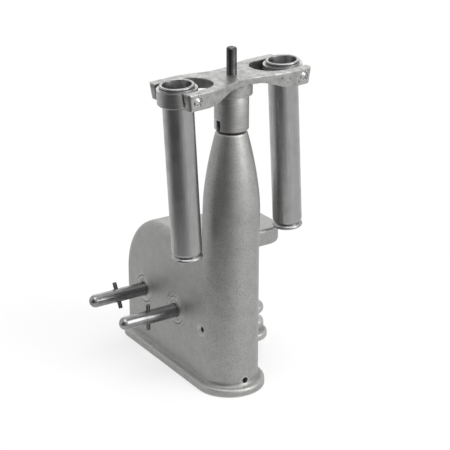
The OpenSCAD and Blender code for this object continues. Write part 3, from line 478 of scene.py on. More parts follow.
bushMetal = smoothSteel("turnedBushMetal", "#a2a2a0", "#80807d", (0.32, 0.46))
oiledBronze = smoothSteel("oiledPhosphorBronze", "#a4804a", "#6f5330", (0.25, 0.4))
oiledGear = smoothSteel("oiledGearSteel", "#7d7d7f", "#525254", (0.22, 0.36))
rolledPlate = brushedMetal("rolledAluminiumPlate", "#9f9f9e", "#828281", 0.6, (20, 1, 1), rough=(0.4, 0.52))
screwNickel = smoothSteel("nickelScrew", "#a2a2a3", "#717172", (0.22, 0.34))
clampSteel = smoothSteel("clampSteel", "#848485", "#5d5d5e", (0.28, 0.42))
rubber = mouldedRubber()
print("materials made")


# the casting

casting = {
    "half": 20, "top": 101.5, "farRound": 50, "edge": 6, "noseBack": 2.5, "wall": 4, "innerEdge": 3,
    "flangeOut": 4.5, "flangeTop": 5.5, "flangeCorner": 12, "flangeEdge": 2.2,
    "columnRadius": 19.05, "neckRadius": 10.35, "swell": 53.5, "curve": 1.6, "foot": 70, "footIn": 0.4,
    "boss": 11.5, "bossOut": 1, "bossEdge": 0.5, "bossRoot": 3, "jawHalf": 23.3, "jawReach": 33.4,
    "jawThick": 12.5, "jawCorner": 12, "jawEdge": 2, "armHalf": 10.8, "armLow": 29.7, "armThick": 7.8,
    "skirt": 8, "screwBore": 4.05, "screwBoreLow": 20, "screwBoreTop": 50,
    "voxel": 0.85, "fillet": 1.2, "smoothing": 4, "groove": 9.8, "grooveWide": 0.8, "grooveDepth": 0.7,
}
hollow = {"columnWall": 4.5, "neckWall": 20, "bossFrom": 12, "bossTo": 17, "footBoss": 12, "footBore": 8,
          "footTop": 22, "headBore": 7, "headDepth": 21}
cover = {"inset": 2.5, "thick": 2.5, "tapRadius": 1.25, "tapDepth": 8.2}
bush = {"radius": 8, "bore": 4.85, "proud": 0.3, "deep": 8, "edge": 0.45}
oilHole = {"radius": 1.9, "recess": 4.3, "depth": 1.33, "back": 7.3, "height": 42.5, "low": -24, "high": -12}
grubHole = {"radius": 2.2, "height": 9.33, "reach": 24}
shaftPlaces = [Vector(joints[name]["pos_m"]) / mm for name in ("high_shaft_turn", "low_shaft_turn")]
clampPlace = Vector(joints["clamp_screw_turn"]["pos_m"]) / mm
castLow, castHigh = boxOf("body_casting")
caseFar = castLow.x + casting["flangeOut"]
columnTop = castHigh.z
columnWide = columnTop - casting["swell"]
jawRoot = casting["half"] - casting["wall"] + over


def columnAt(height):
    share = (columnTop - height) / casting["swell"]
    grown = 1 - (1 - min(1, share)) ** casting["curve"]
    return casting["neckRadius"] + (casting["columnRadius"] - casting["neckRadius"]) * grown


def columnStations(low, high, steps, wall):
    # heights and radii up the column, inside a wall
    heights = [low + (high - low) * i / steps for i in range(steps + 1)]
    return [(height, columnAt(height) - wall) for height in heights]


def highest(edge, axis):
    return max(vert.co[axis] for vert in edge.verts)


def caseShape(name, inset, edge, low):
    # the D-shaped case, drawn in by an inset
    half = casting["half"] - inset
    nose = half - casting["noseBack"]
    far = caseFar + inset
    top = casting["top"] - inset

    def farTop(edge):
        return all(abs(v.co.x - far * mm) < near and abs(v.co.z - top * mm) < near for v in edge.verts)

    piece = block(name, (far, -half, low), (nose, half, top))
    roundEdges(piece, half - hair, 24, lambda e: upright(e, 0, nose))
    roundEdges(piece, casting["farRound"] - inset, 24, farTop)
    return roundEdges(piece, edge, 6, lambda e: sharp(e) and highest(e, 2) > (low + over) * mm)


def flatShape(name, half, far, low, top, corner):
    # a plate with the case's outline: a round nose and two round corners
    nose = half - casting["noseBack"]
    piece = block(name, (far, -half, low), (nose, half, top))
    roundEdges(piece, half - hair, 28, lambda e: upright(e, 0, nose))
    return roundEdges(piece, corner, 12, lambda e: upright(e, 0, far))


def flangeShape():
    half = casting["half"] + casting["flangeOut"]
    piece = flatShape("flange", half, castLow.x, -casting["skirt"], casting["flangeTop"],
                      casting["flangeCorner"])
    return roundEdges(piece, casting["flangeEdge"], 5,
                      lambda e: sharp(e) and min(v.co.z for v in e.verts) > mm)


def recessShape():
    half = casting["half"] + casting["flangeOut"] - cover["inset"]
    return flatShape("recess", half, castLow.x + cover["inset"], -over, cover["thick"],
                     casting["flangeCorner"] - cover["inset"])


def columnShape():
    foot = (casting["foot"], casting["half"] - casting["footIn"], -casting["noseBack"])
    return turned("column", [foot] + columnStations(columnWide, columnTop, steps=18, wall=0), steps=96)


def frontBoss(spot):
    # a round boss that stands out of the case's front
    radius, out, edge = sizesOf(casting, "boss bossOut bossEdge")
    rim = [(-casting["bossRoot"], radius)] + arc(out - edge, radius - edge, edge, 0, 90)
    return placeAt(turned("boss", rim, steps=64), (spot.x, -casting["half"], spot.z), towardsFront)


def lugShape(name, half, end, low, high, corner, cornerSteps, edge, edgeSteps):
    # a lug out of the case's rear, with round corners and edges
    piece = block(name, (clampPlace.x - half, jawRoot, low), (clampPlace.x + half, end, high))
    roundEdges(piece, corner, cornerSteps, lambda e: upright(e, 1, end))
    return roundEdges(piece, edge, edgeSteps, lambda e: sharp(e) and highest(e, 1) > (jawRoot + over) * mm)


def jawShape():
    end, top = casting["half"] + casting["jawReach"], casting["top"]
    return lugShape("jaw", casting["jawHalf"], end, top - casting["jawThick"], top,
                    corner=casting["jawCorner"], cornerSteps=10, edge=casting["jawEdge"], edgeSteps=4)


def armShape():
    half, low, thick = sizesOf(casting, "armHalf armLow armThick")
    return lugShape("arm", half, clampPlace.y + half, low, low + thick,
                    corner=half - hair, cornerSteps=14, edge=thick / 2 - 2 * hair, edgeSteps=6)


def rod(name, radius, start, end, where, axis="Z", steps=48):
    # a plain cutter along an axis, from start to end
    piece = turned(name, [(start, radius), (end, radius)], steps)
    turns = {"Z": Matrix(), "X": rotation(90, "Y"), "Y": rotation(-90, "X")}
    return placeAt(piece, where, turns[axis])


def hollowShape():
    shape = caseShape("hollow", casting["wall"], casting["innerEdge"], -casting["skirt"])
    bosses = []
    for spot, side in [(spot, side) for spot in shaftPlaces for side in sides]:
        start, end = side * hollow["bossFrom"], side * hollow["bossTo"]
        bosses.append(rod("boss", casting["boss"], start, end, (spot.x, 0, spot.z), "Y"))
    bosses.append(rod("boss", hollow["footBoss"], cover["thick"], hollow["footTop"], (0, 0, 0)))
    wall = hollow["columnWall"]
    stations = [(casting["foot"], casting["columnRadius"] - wall)]
    stations += columnStations(columnWide, columnTop - hollow["neckWall"], steps=8, wall=wall)
    cutAway(shape, *bosses)
    bore = turned("bore", stations, steps=48)
    modified(shape, "BOOLEAN", operation="UNION", solver="EXACT", object=bore)
    bpy.data.objects.remove(bore)
    return shape


def coverPlaces():
    row = casting["half"] - casting["wall"] / 2
    first, second = (spot.x for spot in shaftPlaces)
    backs = ((second + caseFar) / 2, (first + second) / 2, first / 3)
    return [(back, side * row, 0) for back in backs for side in sides]


def oilSeat():
    # the oil hole's cone, as wide as the recess where it meets the face
    face, deep = casting["half"], oilHole["depth"]
    narrow, wide = oilHole["radius"], 2 * oilHole["recess"] - oilHole["radius"]
    cone = turned("seat", [(face - deep, narrow), (face + deep, wide)], steps=48)
    return placeAt(cone, (-oilHole["back"], 0, oilHole["height"]), towardsFront)


def grooveShape(spot):
    # a shallow turned hollow round the bush, with sloping sides
    middle, wide, depth = sizesOf(casting, "groove grooveWide grooveDepth")
    face = casting["half"] + casting["bossOut"]
    outline = [(face - depth, middle), (face + depth, middle + 2 * wide), (face + depth, middle - 2 * wide)]
    return turnedFront("groove", outline, spot, steps=64, closed=True)


def makeCasting():
    skin = [caseShape("case", 0, casting["edge"], -casting["skirt"])]
    skin += [flangeShape(), columnShape(), jawShape(), armShape()]
    skin += [frontBoss(spot) for spot in shaftPlaces]
    body = joined("bodyCasting", *skin)
    cast(body, casting["voxel"], casting["fillet"], casting["smoothing"])
    editAll(body)
    bpy.ops.mesh.bisect(plane_co=(0, 0, 0), plane_no=(0, 0, 1), clear_inner=True, use_fill=True)
    bpy.ops.object.mode_set(mode="OBJECT")
    cutAway(body, hollowShape(), recessShape())
    bores = [rod("bore", bush["radius"], -through, through, (spot.x, 0, spot.z), "Y", steps=64)
             for spot in shaftPlaces]
    bores.append(rod("bore", hollow["headBore"], columnTop - hollow["headDepth"], columnTop + over,
                     (0, 0, 0), "Z", steps=64))
    bores.append(rod("bore", grubHole["radius"], 0, grubHole["reach"], (0, 0, grubHole["height"]),
                     "X", steps=32))
    bores.append(rod("bore", oilHole["radius"], oilHole["low"], oilHole["high"],
                     (-oilHole["back"], 0, oilHole["height"]), "Y", steps=32))
    bores.append(rod("bore", casting["screwBore"], casting["screwBoreLow"], casting["screwBoreTop"],
                     (clampPlace.x, clampPlace.y, 0)))
    cutAway(body, joined("bores", *bores))
    seats = [rod("seat", cover["tapRadius"], -over, cover["tapDepth"], spot) for spot in coverPlaces()]
    seats.append(oilSeat())
    seats.append(rod("seat", hollow["footBore"], -over, hollow["footTop"] + over, (0, 0, 0)))
    cutAway(body, joined("seats", *seats), *[grooveShape(spot) for spot in shaftPlaces])
    wearSheenShadeMap(body, passes=3)
    return finished(body, castAluminium, "casing", "casting", "body_casting", degrees=40)


makeCasting()
print("casting made")


# bushes, shafts and pins

shaft = {"radius": 4.8, "seat": 4.6, "out": 40.2, "seatLength": 14.7, "rear": 19.7, "chamfer": 0.5,
         "domeFrom": 8, "domeTo": 86}
crossPin = {"radius": 1.5, "length": 19, "edge": 0.35, "soft": 0.12, "upright": 4}


def pinPiece(name, radius, length, edge):
    half = length / 2
    outline = [(-half, radius - edge), (edge - half, radius), (half - edge, radius), (half, radius - edge)]
    return eased(turned(name, outline, steps=32), crossPin["soft"], segments=2, degrees=20)


def makeFrontBushes():
    start, end = casting["half"] - bush["deep"], casting["half"] + casting["bossOut"] + bush["proud"]
    radius, bore = bush["radius"], bush["bore"]
    outline = [(start, radius), (end, radius), (end, bore), (start, bore)]
    pair = [turnedFront("bush", outline, spot, steps=64, closed=True) for spot in shaftPlaces]
    piece = eased(joined("frontBushes", *pair), bush["edge"], segments=3)
    finished(piece, bushMetal, "casing", "bush", "front_bushes")


def makeShaft(name, spot, node):
    tip = casting["half"] + shaft["out"]
    rear, step, radius, seat = -shaft["rear"], tip - shaft["seatLength"], shaft["radius"], shaft["seat"]
    chamfer = shaft["chamfer"]
    outline = [(rear, radius - chamfer), (rear + chamfer, radius), (step, radius), (step, seat), (tip, seat)]
    outline += arc(tip, 0, seat, shaft["domeFrom"], shaft["domeTo"], steps=12)
    piece = turnedFront(name, outline, spot, steps=72)
    finished(piece, groundSteel, frame["nodes"][node]["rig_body"], "shaft", node, degrees=25)


def makeCrossPin(name, node):
    # a pin that is wider than an upright one leans
    low, high = boxOf(node)
    size, thick = high - low, 2 * crossPin["radius"]
    lean = math.atan2(size.x - thick, size.z - thick) if size.x > crossPin["upright"] else 0
    piece = pinPiece(name, crossPin["radius"], crossPin["length"], crossPin["edge"])
    placeAt(piece, (low + high) / 2, Matrix.Rotation(-lean, 4, "Y"))
    finished(piece, drawnPin, frame["nodes"][node]["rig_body"], "pin", node)


makeFrontBushes()
for speed, spot in zip(("high", "low"), shaftPlaces):
    makeShaft(speed + "SpeedShaft", spot, speed + "_speed_shaft")
for speed in ("high", "low"):
    makeCrossPin(speed + "CrossPin", speed + "_cross_pin")
print("shafts made")


# spindle and sleeve

spindle = {"radius": 4, "neck": 3.5, "end": 3.35, "taper": 0.8, "dimple": 1.0, "foot": 0.2, "point": 0.1,
           "soft": 0.2}
sleeve = {"radius": 11.3, "bore": 4.05, "spigot": 9, "spigotLength": 7.5, "bevel": 0.9, "slotWidth": 3.7,
          "slotHeight": 7.5, "slotReach": 20, "length": 23.7, "soft": 0.2}
spindleLow, spindleHigh = boxOf("spindle")
sleeveLow, sleeveHigh = boxOf("rotor_sleeve")
yokeTop = boxOf("yoke")[1].z
spinTurn = Matrix.Rotation(rotorTurn, 4, "Z")


def makeSpindle():
    low, shoulder, top = spindleLow.z, sleeveHigh.z - sleeve["spigotLength"] / 2, spindleHigh.z
    radius, neck, end, taper, dimple = sizesOf(spindle, "radius neck end taper dimple")
    outline = [(low, spindle["foot"]), (low, radius), (shoulder, radius), (shoulder, neck), (yokeTop, neck),
               (yokeTop, end), (top - taper, end), (top, end - taper), (top, dimple),
               (top - dimple, spindle["point"])]
    piece = eased(turned("spindleRod", outline, steps=64), spindle["soft"], segments=2, degrees=30)
    finished(piece, spindleSteel, "rotor", "shaft", "spindle")


def makeSleeve():
    low, step, top = sleeveLow.z, sleeveLow.z + sleeve["length"], sleeveHigh.z
    radius, bore, spigot, bevel = sizesOf(sleeve, "radius bore spigot bevel")
    outline = [(low, bore), (low, radius - bevel), (low + bevel, radius), (step, radius), (step, spigot),
               (top, spigot), (top, bore)]
    piece = turned("rotorSleeve", outline, steps=96, closed=True)
    reach, half = sleeve["slotReach"], sleeve["slotWidth"] / 2
    slot = block("slot", (-reach, -half, low - over), (reach, half, low + sleeve["slotHeight"]))
    cutAway(piece, place(slot, spinTurn))
    eased(piece, sleeve["soft"], segments=2)
    finished(piece, turnedNickel, "rotor", "sleeve", "rotor_sleeve")


makeSpindle()
makeSleeve()
print("spindle and sleeve made")


# the yoke

yoke = {
    "pivot": 44.4, "past": 7.1, "drop": 5.6, "midDepth": 4.8, "tipDepth": 11, "slotRadius": 14.05,
    "slotCentre": 33.35, "midHalf": 14.5, "jaw": 20.65, "boss": 13.6, "bossDepth": 12.8, "deepens": 9.65,
    "fullAt": 36.16, "endPower": 8,
    "endDraft": 0.16, "sideDraft": 0.06, "corner": 2.2, "voxel": 0.45, "fillet": 0.8, "smoothing": 2,
    "spigot": 9, "bore": 3.55, "cutLow": -30, "cutTop": 5, "slotEnd": 70,
}
pivotScrew = {
    "shank": 1.5, "head": 3.4, "recess": 3.5, "recessDepth": 0.8, "dome": 1.65, "tip": 10.65, "point": 0.7,
    "taper": 0.8, "under": 0.05, "domeEnd": 88.5, "crossLength": 4.2, "crossWidth": 0.95, "crossDepth": 1.2,
    "boreFrom": 0.8, "cutEnd": 25,
}


def ease(x, low, high):
    return (1 - math.cos(math.pi * min(1, max(0, (x - low) / (high - low))))) / 2


def yokeHalf(x):
    # half the width at that distance from the spindle, with round corners at the tips
    grown = ease(abs(x), 0, yoke["slotCentre"])
    corner = yoke["corner"]
    past = max(0, abs(x) - yoke["pivot"] - yoke["past"] + corner)
    lost = corner - math.sqrt(max(0, corner ** 2 - past ** 2))
    return yoke["midHalf"] + (yoke["jaw"] - yoke["midHalf"]) * grown - lost


def yokeDepth(x):
    grown = ease(abs(x), yoke["deepens"], yoke["fullAt"])
    return yoke["midDepth"] + (yoke["tipDepth"] - yoke["midDepth"]) * grown


def makeYoke():
    tip = yoke["pivot"] + yoke["past"]
    deselect()
    bpy.ops.mesh.primitive_grid_add(x_subdivisions=160, y_subdivisions=30, size=2)
    piece = bpy.context.object
    piece.name = "yokeArms"
    editAll(piece)
    bpy.ops.mesh.extrude_region_move(TRANSFORM_OT_translate={"value": (0, 0, -1)})
    bpy.ops.object.mode_set(mode="OBJECT")
    for vert in piece.data.vertices:
        depth = -vert.co.z * yokeDepth(vert.co.x * tip)
        x = vert.co.x * (tip - depth * yoke["endDraft"] * abs(vert.co.x) ** yoke["endPower"])
        y = vert.co.y * (yokeHalf(vert.co.x * tip) - depth * yoke["sideDraft"])
        vert.co = Vector((x, y, -depth)) * mm
    outwards(piece)
    low, top, radius, centre = sizesOf(yoke, "cutLow cutTop slotRadius slotCentre")
    cutters = []
    for side in sides:
        cutters.append(rod("slot", radius, low, top, (side * centre, 0, 0), "Z", steps=96))
        ends = sorted((side * centre, side * yoke["slotEnd"]))
        cutters.append(block("slot", (ends[0], -radius, low), (ends[1], radius, top)))
    cutAway(piece, *cutters)
    boss = yoke["boss"]
    hub = turned("hub", [(-yoke["bossDepth"], boss), (-yoke["midDepth"] / 2, boss)], steps=96)
    piece = joined("yokeForging", piece, hub)
    cast(piece, yoke["voxel"], yoke["fillet"], yoke["smoothing"])
    bores = screwCutters("bore", pivotScrew["shank"], radius * pivotScrew["boreFrom"], steps=24)
    cutAway(piece, joined("bores", *bores))
    seats = screwCutters("seat", pivotScrew["recess"], yoke["jaw"] - pivotScrew["recessDepth"], steps=40)
    seats.append(rod("seat", yoke["spigot"], low, sleeve["spigotLength"] - yoke["bossDepth"],
                     (0, 0, 0), "Z", steps=64))
    cutAway(piece, joined("seats", *seats), rod("bore", yoke["bore"], low, top, (0, 0, 0)))
    wearSheenShadeMap(piece, passes=2)
    place(piece, Matrix.Translation((0, 0, yokeTop * mm)) @ spinTurn)
    finished(piece, nickelYoke, "rotor", "yoke", "yoke", degrees=40)


def screwCutters(name, radius, start, steps):
    # one at each pivot screw, from a distance to the middle line outwards
    cutters = []
    for side, face in corners:
        low, high = sorted((face * start, face * pivotScrew["cutEnd"]))
        cutters.append(rod(name, radius, low, high, (side * yoke["pivot"], 0, -yoke["drop"]), "Y", steps))
    return cutters


def crossBars(top):
    # the cross that the driver turns, cut into the dome
    half, width = pivotScrew["crossLength"] / 2, pivotScrew["crossWidth"] / 2
    bars = []
    for degrees in (-45, 45):
        bar = block("bar", (-half, -width, top - pivotScrew["crossDepth"]), (half, width, top + over))
        bars.append(place(bar, rotation(degrees, "Z")))
    return bars


def makePivotScrews():
    seat, tip = yoke["jaw"] - pivotScrew["recessDepth"], pivotScrew["tip"]
    head, dome, shank = sizesOf(pivotScrew, "head dome shank")
    curve = (head * head + dome * dome) / (2 * dome)
    sweep = math.degrees(math.asin(head / curve))
    outline = [(tip, pivotScrew["point"]), (tip + pivotScrew["taper"], shank), (seat, shank),
               (seat, head - pivotScrew["under"])]
    outline += arc(seat + dome - curve, 0, curve, 90 - sweep, pivotScrew["domeEnd"], steps=10)
    screws = []
    for side, face in corners:
        screw = turned("screw", outline, steps=40)
        cutAway(screw, *crossBars(seat + dome))
        spot = Matrix.Translation(Vector((side * yoke["pivot"], 0, yokeTop - yoke["drop"])) * mm)
        screws.append(place(screw, spinTurn @ spot @ rotation(90 * face, "X")))
    finished(joined("pivotScrews", *screws), polishedNickel, "rotor", "screws", "pivot_screws", degrees=30)


makeYoke()
makePivotScrews()
print("yoke made")


# shields, rings and cushions

shield = {
    "radius": 10, "bore": 9.2, "lipTop": 7.6, "lip": 10.4, "roll": 0.8, "low": -111.4, "bead": 1.35,
    "beadRadius": 8.875, "waist": 8.8, "floor": -106, "dish": 2.7, "dishRadius": 7.45, "dishRound": 1.2,
    "dishStep": 0.5, "neckGap": 0.2, "shoulderGap": 0.5, "shoulder": 2.6, "ringTop": 6.0, "underRing": 0.3,
    "seat": 8.8, "seatHeight": 6.2, "middle": 0.3,
}
mouth = ((0.05, 0.55), (0.35, 0.15), (0.9, 0))  # mm below the lip's top and out from the bore
ring = {"inner": 10.05, "outer": 13.05, "low": -5.4, "top": 6.0, "rim": 0.9, "rimRadius": 11.55,
        "chamfer": 1.0, "hole": 1.55, "holeReach": 20, "soft": 0.25}
cushion = {"radius": 8.7, "thick": 6, "edge": 1.1, "dip": 0.7, "gap": 0.05, "underside": 0.3, "middle": 0.4,
           "dipFrom": 0.45}


def seatAt(side):
    # the pivot as origin, Y along the pivot screws and Z up the leaning shield
    origin = Vector(joints[side + "_shield_swing"]["pos_m"])
    up = Vector(mounts[side + "_shield_bore"]["axis"]).normalized()
    across = Vector(joints[side + "_shield_swing"]["axis"]).normalized()
    turn = Matrix((across.cross(up), across, up)).transposed().to_4x4()
    return Matrix.Translation(origin) @ turn


def makeShield(side):
    low, bead, lip, radius = sizesOf(shield, "low bead lip radius")
    bore, waist, floor, seat = sizesOf(shield, "bore waist floor seat")
    dish, dished, middle = low + shield["dish"], shield["dishRadius"], shield["middle"]
    outline = [(dish, middle), (dish, dished - shield["dishRound"]), (dish - shield["dishStep"], dished),
               (low + bead, dished)]
    outline += arc(low + bead, shield["beadRadius"], bead, 180, 400, steps=14)[1:]
    top = low + 2 * bead
    outline.append((top + shield["neckGap"], waist))
    for share in (0.25, 0.5, 0.75, 1):
        outline.append((top + shield["shoulderGap"] + shield["shoulder"] * share,
                        waist + (radius - waist) * math.sin(share * math.pi / 2)))
    outline.append((shield["ringTop"] - shield["underRing"], radius))
    outline += arc(shield["lipTop"] - shield["roll"], lip, shield["roll"], -115, 90, steps=12)
    outline += [(shield["lipTop"] - down, bore + out) for down, out in mouth]
    ledge = floor + shield["seatHeight"]
    outline += [(ledge, bore), (ledge, seat), (floor, seat), (floor, middle)]
    piece = place(turned(side + "ShieldTube", outline, steps=96), seatAt(side))
    finished(piece, drawnTube, side + "_bucket", "shield", side + "_shield", degrees=30)


def makeRing(side):
    low, top, inner, outer = sizesOf(ring, "low top inner outer")
    chamfer, rim, step = ring["chamfer"], ring["rimRadius"], top - ring["rim"]
    outline = [(low, inner), (low, outer - chamfer), (low + chamfer, outer), (step, outer), (step, rim),
               (top, rim), (top, inner)]
    piece = turned(side + "Ring", outline, steps=96, closed=True)
    reach = ring["holeReach"]
    cutAway(piece, rod("bore", ring["hole"], -reach, reach, (0, 0, 0), "Y", steps=32))
    eased(piece, ring["soft"], segments=3, degrees=30)
    place(piece, seatAt(side))
    finished(piece, turnedRing, side + "_bucket", "ring", side + "_trunnion_ring", degrees=30)


def makeCushion(side):
    low, top = shield["floor"] + cushion["gap"], shield["floor"] + cushion["thick"]
    radius, edge, dip = sizesOf(cushion, "radius edge dip")
    outline = [(low, cushion["underside"]), (low, radius - edge)]
    outline += arc(low + edge, radius - edge, edge, -80, 0) + arc(top - edge, radius - edge, edge, 0, 90)
    outline += [(top - dip / 2, radius * cushion["dipFrom"]), (top - dip, cushion["middle"])]
    piece = place(turned(side + "RubberCushion", outline, steps=64), seatAt(side))
    finished(piece, rubber, side + "_bucket", "cushion", side + "_cushion", degrees=60)


for side in ("left", "right"):
    makeShield(side)
    makeRing(side)
    makeCushion(side)
print("shields made")


# the bench clamp

clamp = {
    "knobRadius": 13.3, "rimHeight": 5.9, "hubRadius": 10.7, "hubRound": 3.4, "pitch": 2,
    "core": 3.35, "crest": 4.0, "pad": 6.5, "padEdge": 1.92, "tip": 2.5, "middle": 0.3, "play": 0.1,
    "threadIn": 4, "rodIn": 12, "padGap": 0.4, "neck": 1.5, "tipLength": 5, "padFloor": 2.2, "pinEdge": 0.3,
}
knobFillet = ((0.3, 0.5), (0.9, 0))  # mm above the rim and out from the hub
knobMouth = ((0, 4.4), (0.5, 3.35))  # mm below the top, and the radius
padRim = ((0.6, 0), (0.1, 0.5), (0, 1.1))  # mm below the top and in from the side
thread = ((0, 0), (0.35, 1), (0.5, 1), (0.85, 0), (1, 0))  # shares of the pitch and of the depth
knobLow, knobHigh = boxOf("clamp_knob")
padLow, padHigh = boxOf("clamp_pad")
onScrew = (clampPlace.x, clampPlace.y, 0)


def makeKnob():
    low, top, radius, edge = knobLow.z, knobHigh.z, clamp["knobRadius"], clamp["rimHeight"] / 3
    rim, hub, hubRound = low + clamp["rimHeight"], clamp["hubRadius"], clamp["hubRound"]
    outline = [(low, clamp["middle"]), (low, radius - edge)]
    outline += arc(low + edge, radius - edge, edge, -80, 0) + arc(rim - edge, radius - edge, edge, 0, 75)
    outline += [(rim + up, hub + out) for up, out in knobFillet]
    outline += arc(top - hubRound, hub - hubRound, hubRound, 0, 90)
    outline += [(top - down, wide) for down, wide in knobMouth]
    piece = placeAt(turned("clampKnob", outline, steps=80), onScrew)
    wearSheenShadeMap(piece, passes=1)
    finished(piece, castAluminium, "clamp_screw_body", "knob", "clamp_knob", degrees=30)


def makeClampScrew():
    deselect()
    bpy.ops.mesh.primitive_circle_add(vertices=4, radius=1)
    piece = bpy.context.object
    pitch, core, depth = clamp["pitch"], clamp["core"], clamp["crest"] - clamp["core"]
    mesh = bmesh.new()
    verts = [mesh.verts.new(((core + depth * out) * mm, 0, pitch * up * mm)) for up, out in thread]
    for first, second in zip(verts, verts[1:]):
        mesh.edges.new((first, second))
    mesh.to_mesh(piece.data)
    mesh.free()
    piece.name = "clampScrewThread"
    start, end, tip = knobHigh.z - clamp["threadIn"], padLow.z - clamp["padGap"], clamp["tip"]
    modified(piece, "SCREW", screw_offset=pitch * mm, iterations=int((end - start) / pitch) - 1, steps=36,
             render_steps=36, use_merge_vertices=True, merge_threshold=weld, angle=2 * math.pi)
    editAll(piece)
    bpy.ops.mesh.fill_holes(sides=0)
    placeAt(piece, (clampPlace.x, clampPlace.y, start))
    outwards(piece)
    plain = [(knobHigh.z - clamp["rodIn"], core), (end - clamp["neck"], core),
             (end, core - clamp["padGap"]), (end, tip), (end + clamp["tipLength"], tip)]
    piece = joined("clampScrewThread", placeAt(turned("rod", plain, steps=48), onScrew), piece)
    finished(piece, clampSteel, "clamp_screw_body", "clamp", "clamp_screw", degrees=35)


def makePad():
    low, top, radius, edge = padLow.z, padHigh.z, clamp["pad"], clamp["padEdge"]
    socket, floor, middle = clamp["tip"] + clamp["play"], padHigh.z - clamp["padFloor"], clamp["middle"]
    outline = [(low, socket), (low, radius - edge), (low + edge, radius)]
    outline += [(top - down, radius - inwards) for down, inwards in padRim]
    outline += [(top, middle), (floor, middle), (floor, socket)]
    piece = placeAt(turned("clampSwivelPad", outline, steps=64, closed=True), onScrew)
    finished(piece, clampSteel, "clamp_pad_body", "clamp", "clamp_pad", degrees=30)


def makeKnobPin():
    low, high = boxOf("knob_pin")
    piece = pinPiece("knobCrossPin", (high.z - low.z) / 2, high.x - low.x, clamp["pinEdge"])
    placeAt(piece, (low + high) / 2, rotation(90, "Y"))
    finished(piece, drawnPin, "clamp_screw_body", "pin", "knob_pin")


makeKnob()
makeClampScrew()
makePad()
makeKnobPin()
print("clamp made")


# finishes for the CAD pieces that stay

keptFinishes = (
    (rolledPlate, ["base_cover"]),
    (screwNickel, ["cover_screws"]),
    (oiledBronze, ["upper_bush", "foot_bearing", "worm_wheel"]),
    (polishedNickel, ["foot_ball"]),
    (bushMetal, ["rear_bushes"]),
    (oiledGear, ["spur_gear", "pinion", "low_spacer", "worm"]),
    (drawnPin, ["foot_grub_screw", "wheel_pin", "pinion_pin", "worm_pin", "drive_pin"]),
)
for material, nodes in keptFinishes:
    for node in nodes:
        piece = frame["nodes"][node]
        piece.data.materials.clear()
        piece.data.materials.append(material)
print("kept nodes finished")


# floor, light and camera

# darkTowards and the zone sizes also set a painted dark reflection in the floor, black to mirrored rays only
stage = {"floorSize": 12000, "floorHeight": -0.2, "floor": "#f4f4f4", "world": 0.75, "shadowDepth": 0.35,
         "shadowReach": 450, "darkTowards": (0.34, -0.94, 0.1), "darkest": 0.1,
         "zoneStart": 120, "zoneFull": 260, "zoneDark": 0.85, "zoneEdge": (0.3, 0.9),
         "worldEdge": (0.55, 0.95), "lampAim": 120}
camera = {"azimuth": 57.03, "elevation": 21.89, "distance": 969.8, "lens": 116.9, "height": 117.5,
          "shift": -4.2, "sensor": 36, "nearest": 50, "farthest": 50000}
darkSide = Vector(stage["darkTowards"]).normalized()
lamps = {
    "rightSoftbox": {"azimuth": 120, "elevation": 30, "distance": 1200, "size": (700, 1200), "power": 9},
    "topSoftbox": {"azimuth": 40, "elevation": 75, "distance": 1300, "size": (1000, 1000), "power": 7},
    "leftStrip": {"azimuth": -20, "elevation": 15, "distance": 1300, "size": (300, 1000), "power": 0.8},
    "backSoftbox": {"azimuth": 237, "elevation": 28, "distance": 1400, "size": (1200, 600), "power": 2.2},
}


def makeFloor():
    deselect()
    bpy.ops.mesh.primitive_plane_add(size=stage["floorSize"] * mm, location=(0, 0, stage["floorHeight"] * mm))
    floor = bpy.context.object
    floor.name = "floor"
    material, add, where = newMaterial("paleFloor")
    paths = add("LightPath").outputs
    plain = add("BsdfDiffuse", {"Color": linear(stage["floor"])})
    white = add("Emission", {"Color": (1, 1, 1, 1), "Strength": 1.0})
    black = add("Emission", {"Color": (0, 0, 0, 1), "Strength": 0.0})
    # white to the camera, in mirrors and through glass, with some of the shadow round the object
    seen = paths["Is Camera Ray"]
    for ray in ("Is Glossy Ray", "Is Transmission Ray"):
        seen = add("Math", {"operation": "MAXIMUM"}, {0: seen, 1: paths[ray]})
    away = add("VectorMath", {"operation": "LENGTH"}, {0: where})
    reach = stage["shadowReach"] * mm
    clear = add("MapRange", {1: reach / 3, 2: reach, 3: 1 - stage["shadowDepth"]}, {0: away})
    amount = add("Math", {"operation": "MULTIPLY"}, {0: seen, 1: clear})
    shown = add("MixShader", None, {0: amount, 1: plain, 2: white})
    # a painted dark reflection: towards the dark side the floor turns black to mirrored rays only, so round
    # metal shows dark bands
    flat = add("VectorMath", {"operation": "NORMALIZE"}, {0: where})
    facing = add("VectorMath", {"operation": "DOT_PRODUCT", 1: darkSide}, {0: flat})
    start, full = stage["zoneEdge"]
    dark = add("MapRange", {1: start, 2: full, 4: stage["zoneDark"]}, {0: facing})
    begun = add("MapRange", {1: stage["zoneStart"] * mm, 2: stage["zoneFull"] * mm}, {0: away})
    for factor in (begun, paths["Is Glossy Ray"]):
        dark = add("Math", {"operation": "MULTIPLY"}, {0: dark, 1: factor})
    whole = add("MixShader", None, {0: dark, 1: shown, 2: black})
    add("OutputMaterial", None, {"Surface": whole})
    floor.data.materials.append(material)


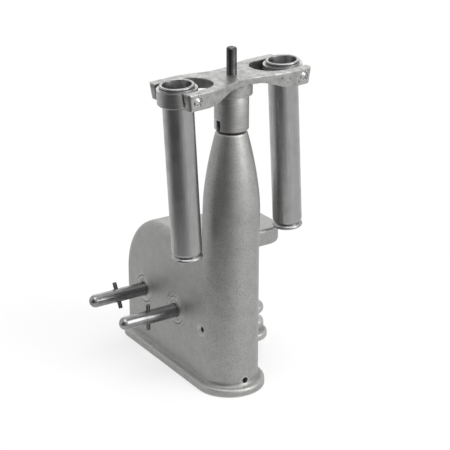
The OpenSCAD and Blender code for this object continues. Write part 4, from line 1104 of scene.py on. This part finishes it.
def makeWorld():
    # white to the camera, with one dark side for light and reflections
    world = bpy.data.worlds.new("studio")
    bpy.context.scene.world = world
    world.use_nodes = True
    world.node_tree.nodes.clear()
    add = partial(addNode, world.node_tree)
    where = add("TexCoord").outputs["Generated"]
    paths = add("LightPath").outputs
    facing = add("VectorMath", {"operation": "DOT_PRODUCT", 1: darkSide}, {0: where})
    start, full = stage["worldEdge"]
    side = add("MapRange", {1: start, 2: full, 3: 1.0, 4: stage["darkest"]}, {0: facing})
    level = add("Math", {"operation": "MULTIPLY", 1: stage["world"]}, {0: side})
    mirrored = add("Math", {"operation": "MULTIPLY"}, {0: side, 1: paths["Is Glossy Ray"]})
    for ray in (mirrored, paths["Is Camera Ray"], paths["Is Transmission Ray"]):
        level = add("Math", {"operation": "MAXIMUM"}, {0: level, 1: ray})
    light = add("Background", {"Color": (1, 1, 1, 1)}, {"Strength": level})
    add("OutputWorld", None, {"Surface": light})


def outTo(azimuth, elevation):
    # the way out from the object, azimuth 0 being its front
    a, e = math.radians(azimuth), math.radians(elevation)
    return Vector((math.sin(a) * math.cos(e), -math.cos(a) * math.cos(e), math.sin(e)))


def aimed(name, data, aim, way, distance):
    # a lamp or camera at a distance in mm, looking back at its aim
    thing = bpy.data.objects.new(name, data)
    bpy.context.scene.collection.objects.link(thing)
    thing.location = (aim + way * distance) * mm
    thing.rotation_euler = (-way).to_track_quat("-Z", "Y").to_euler()
    return thing


def makeLamp(name, lamp):
    data = bpy.data.lights.new(name, "AREA")
    data.shape = "RECTANGLE"
    data.size, data.size_y = (length * mm for length in lamp["size"])
    data.energy = lamp["power"]
    way = outTo(lamp["azimuth"], lamp["elevation"])
    aimed(name, data, Vector((0, 0, stage["lampAim"])), way, lamp["distance"])


def makeCamera():
    data = bpy.data.cameras.new("camera")
    data.lens = camera["lens"]
    data.sensor_width = camera["sensor"]
    data.clip_start, data.clip_end = camera["nearest"] * mm, camera["farthest"] * mm
    right = outTo(camera["azimuth"] + 90, 0)
    aim = Vector((0, 0, camera["height"])) + right * camera["shift"]
    way = outTo(camera["azimuth"], camera["elevation"])
    bpy.context.scene.camera = aimed("camera", data, aim, way, camera["distance"])


makeFloor()
makeWorld()
for name, lamp in lamps.items():
    makeLamp(name, lamp)
makeCamera()
bpy.context.scene.view_settings.view_transform = "Standard"
print("stage made")
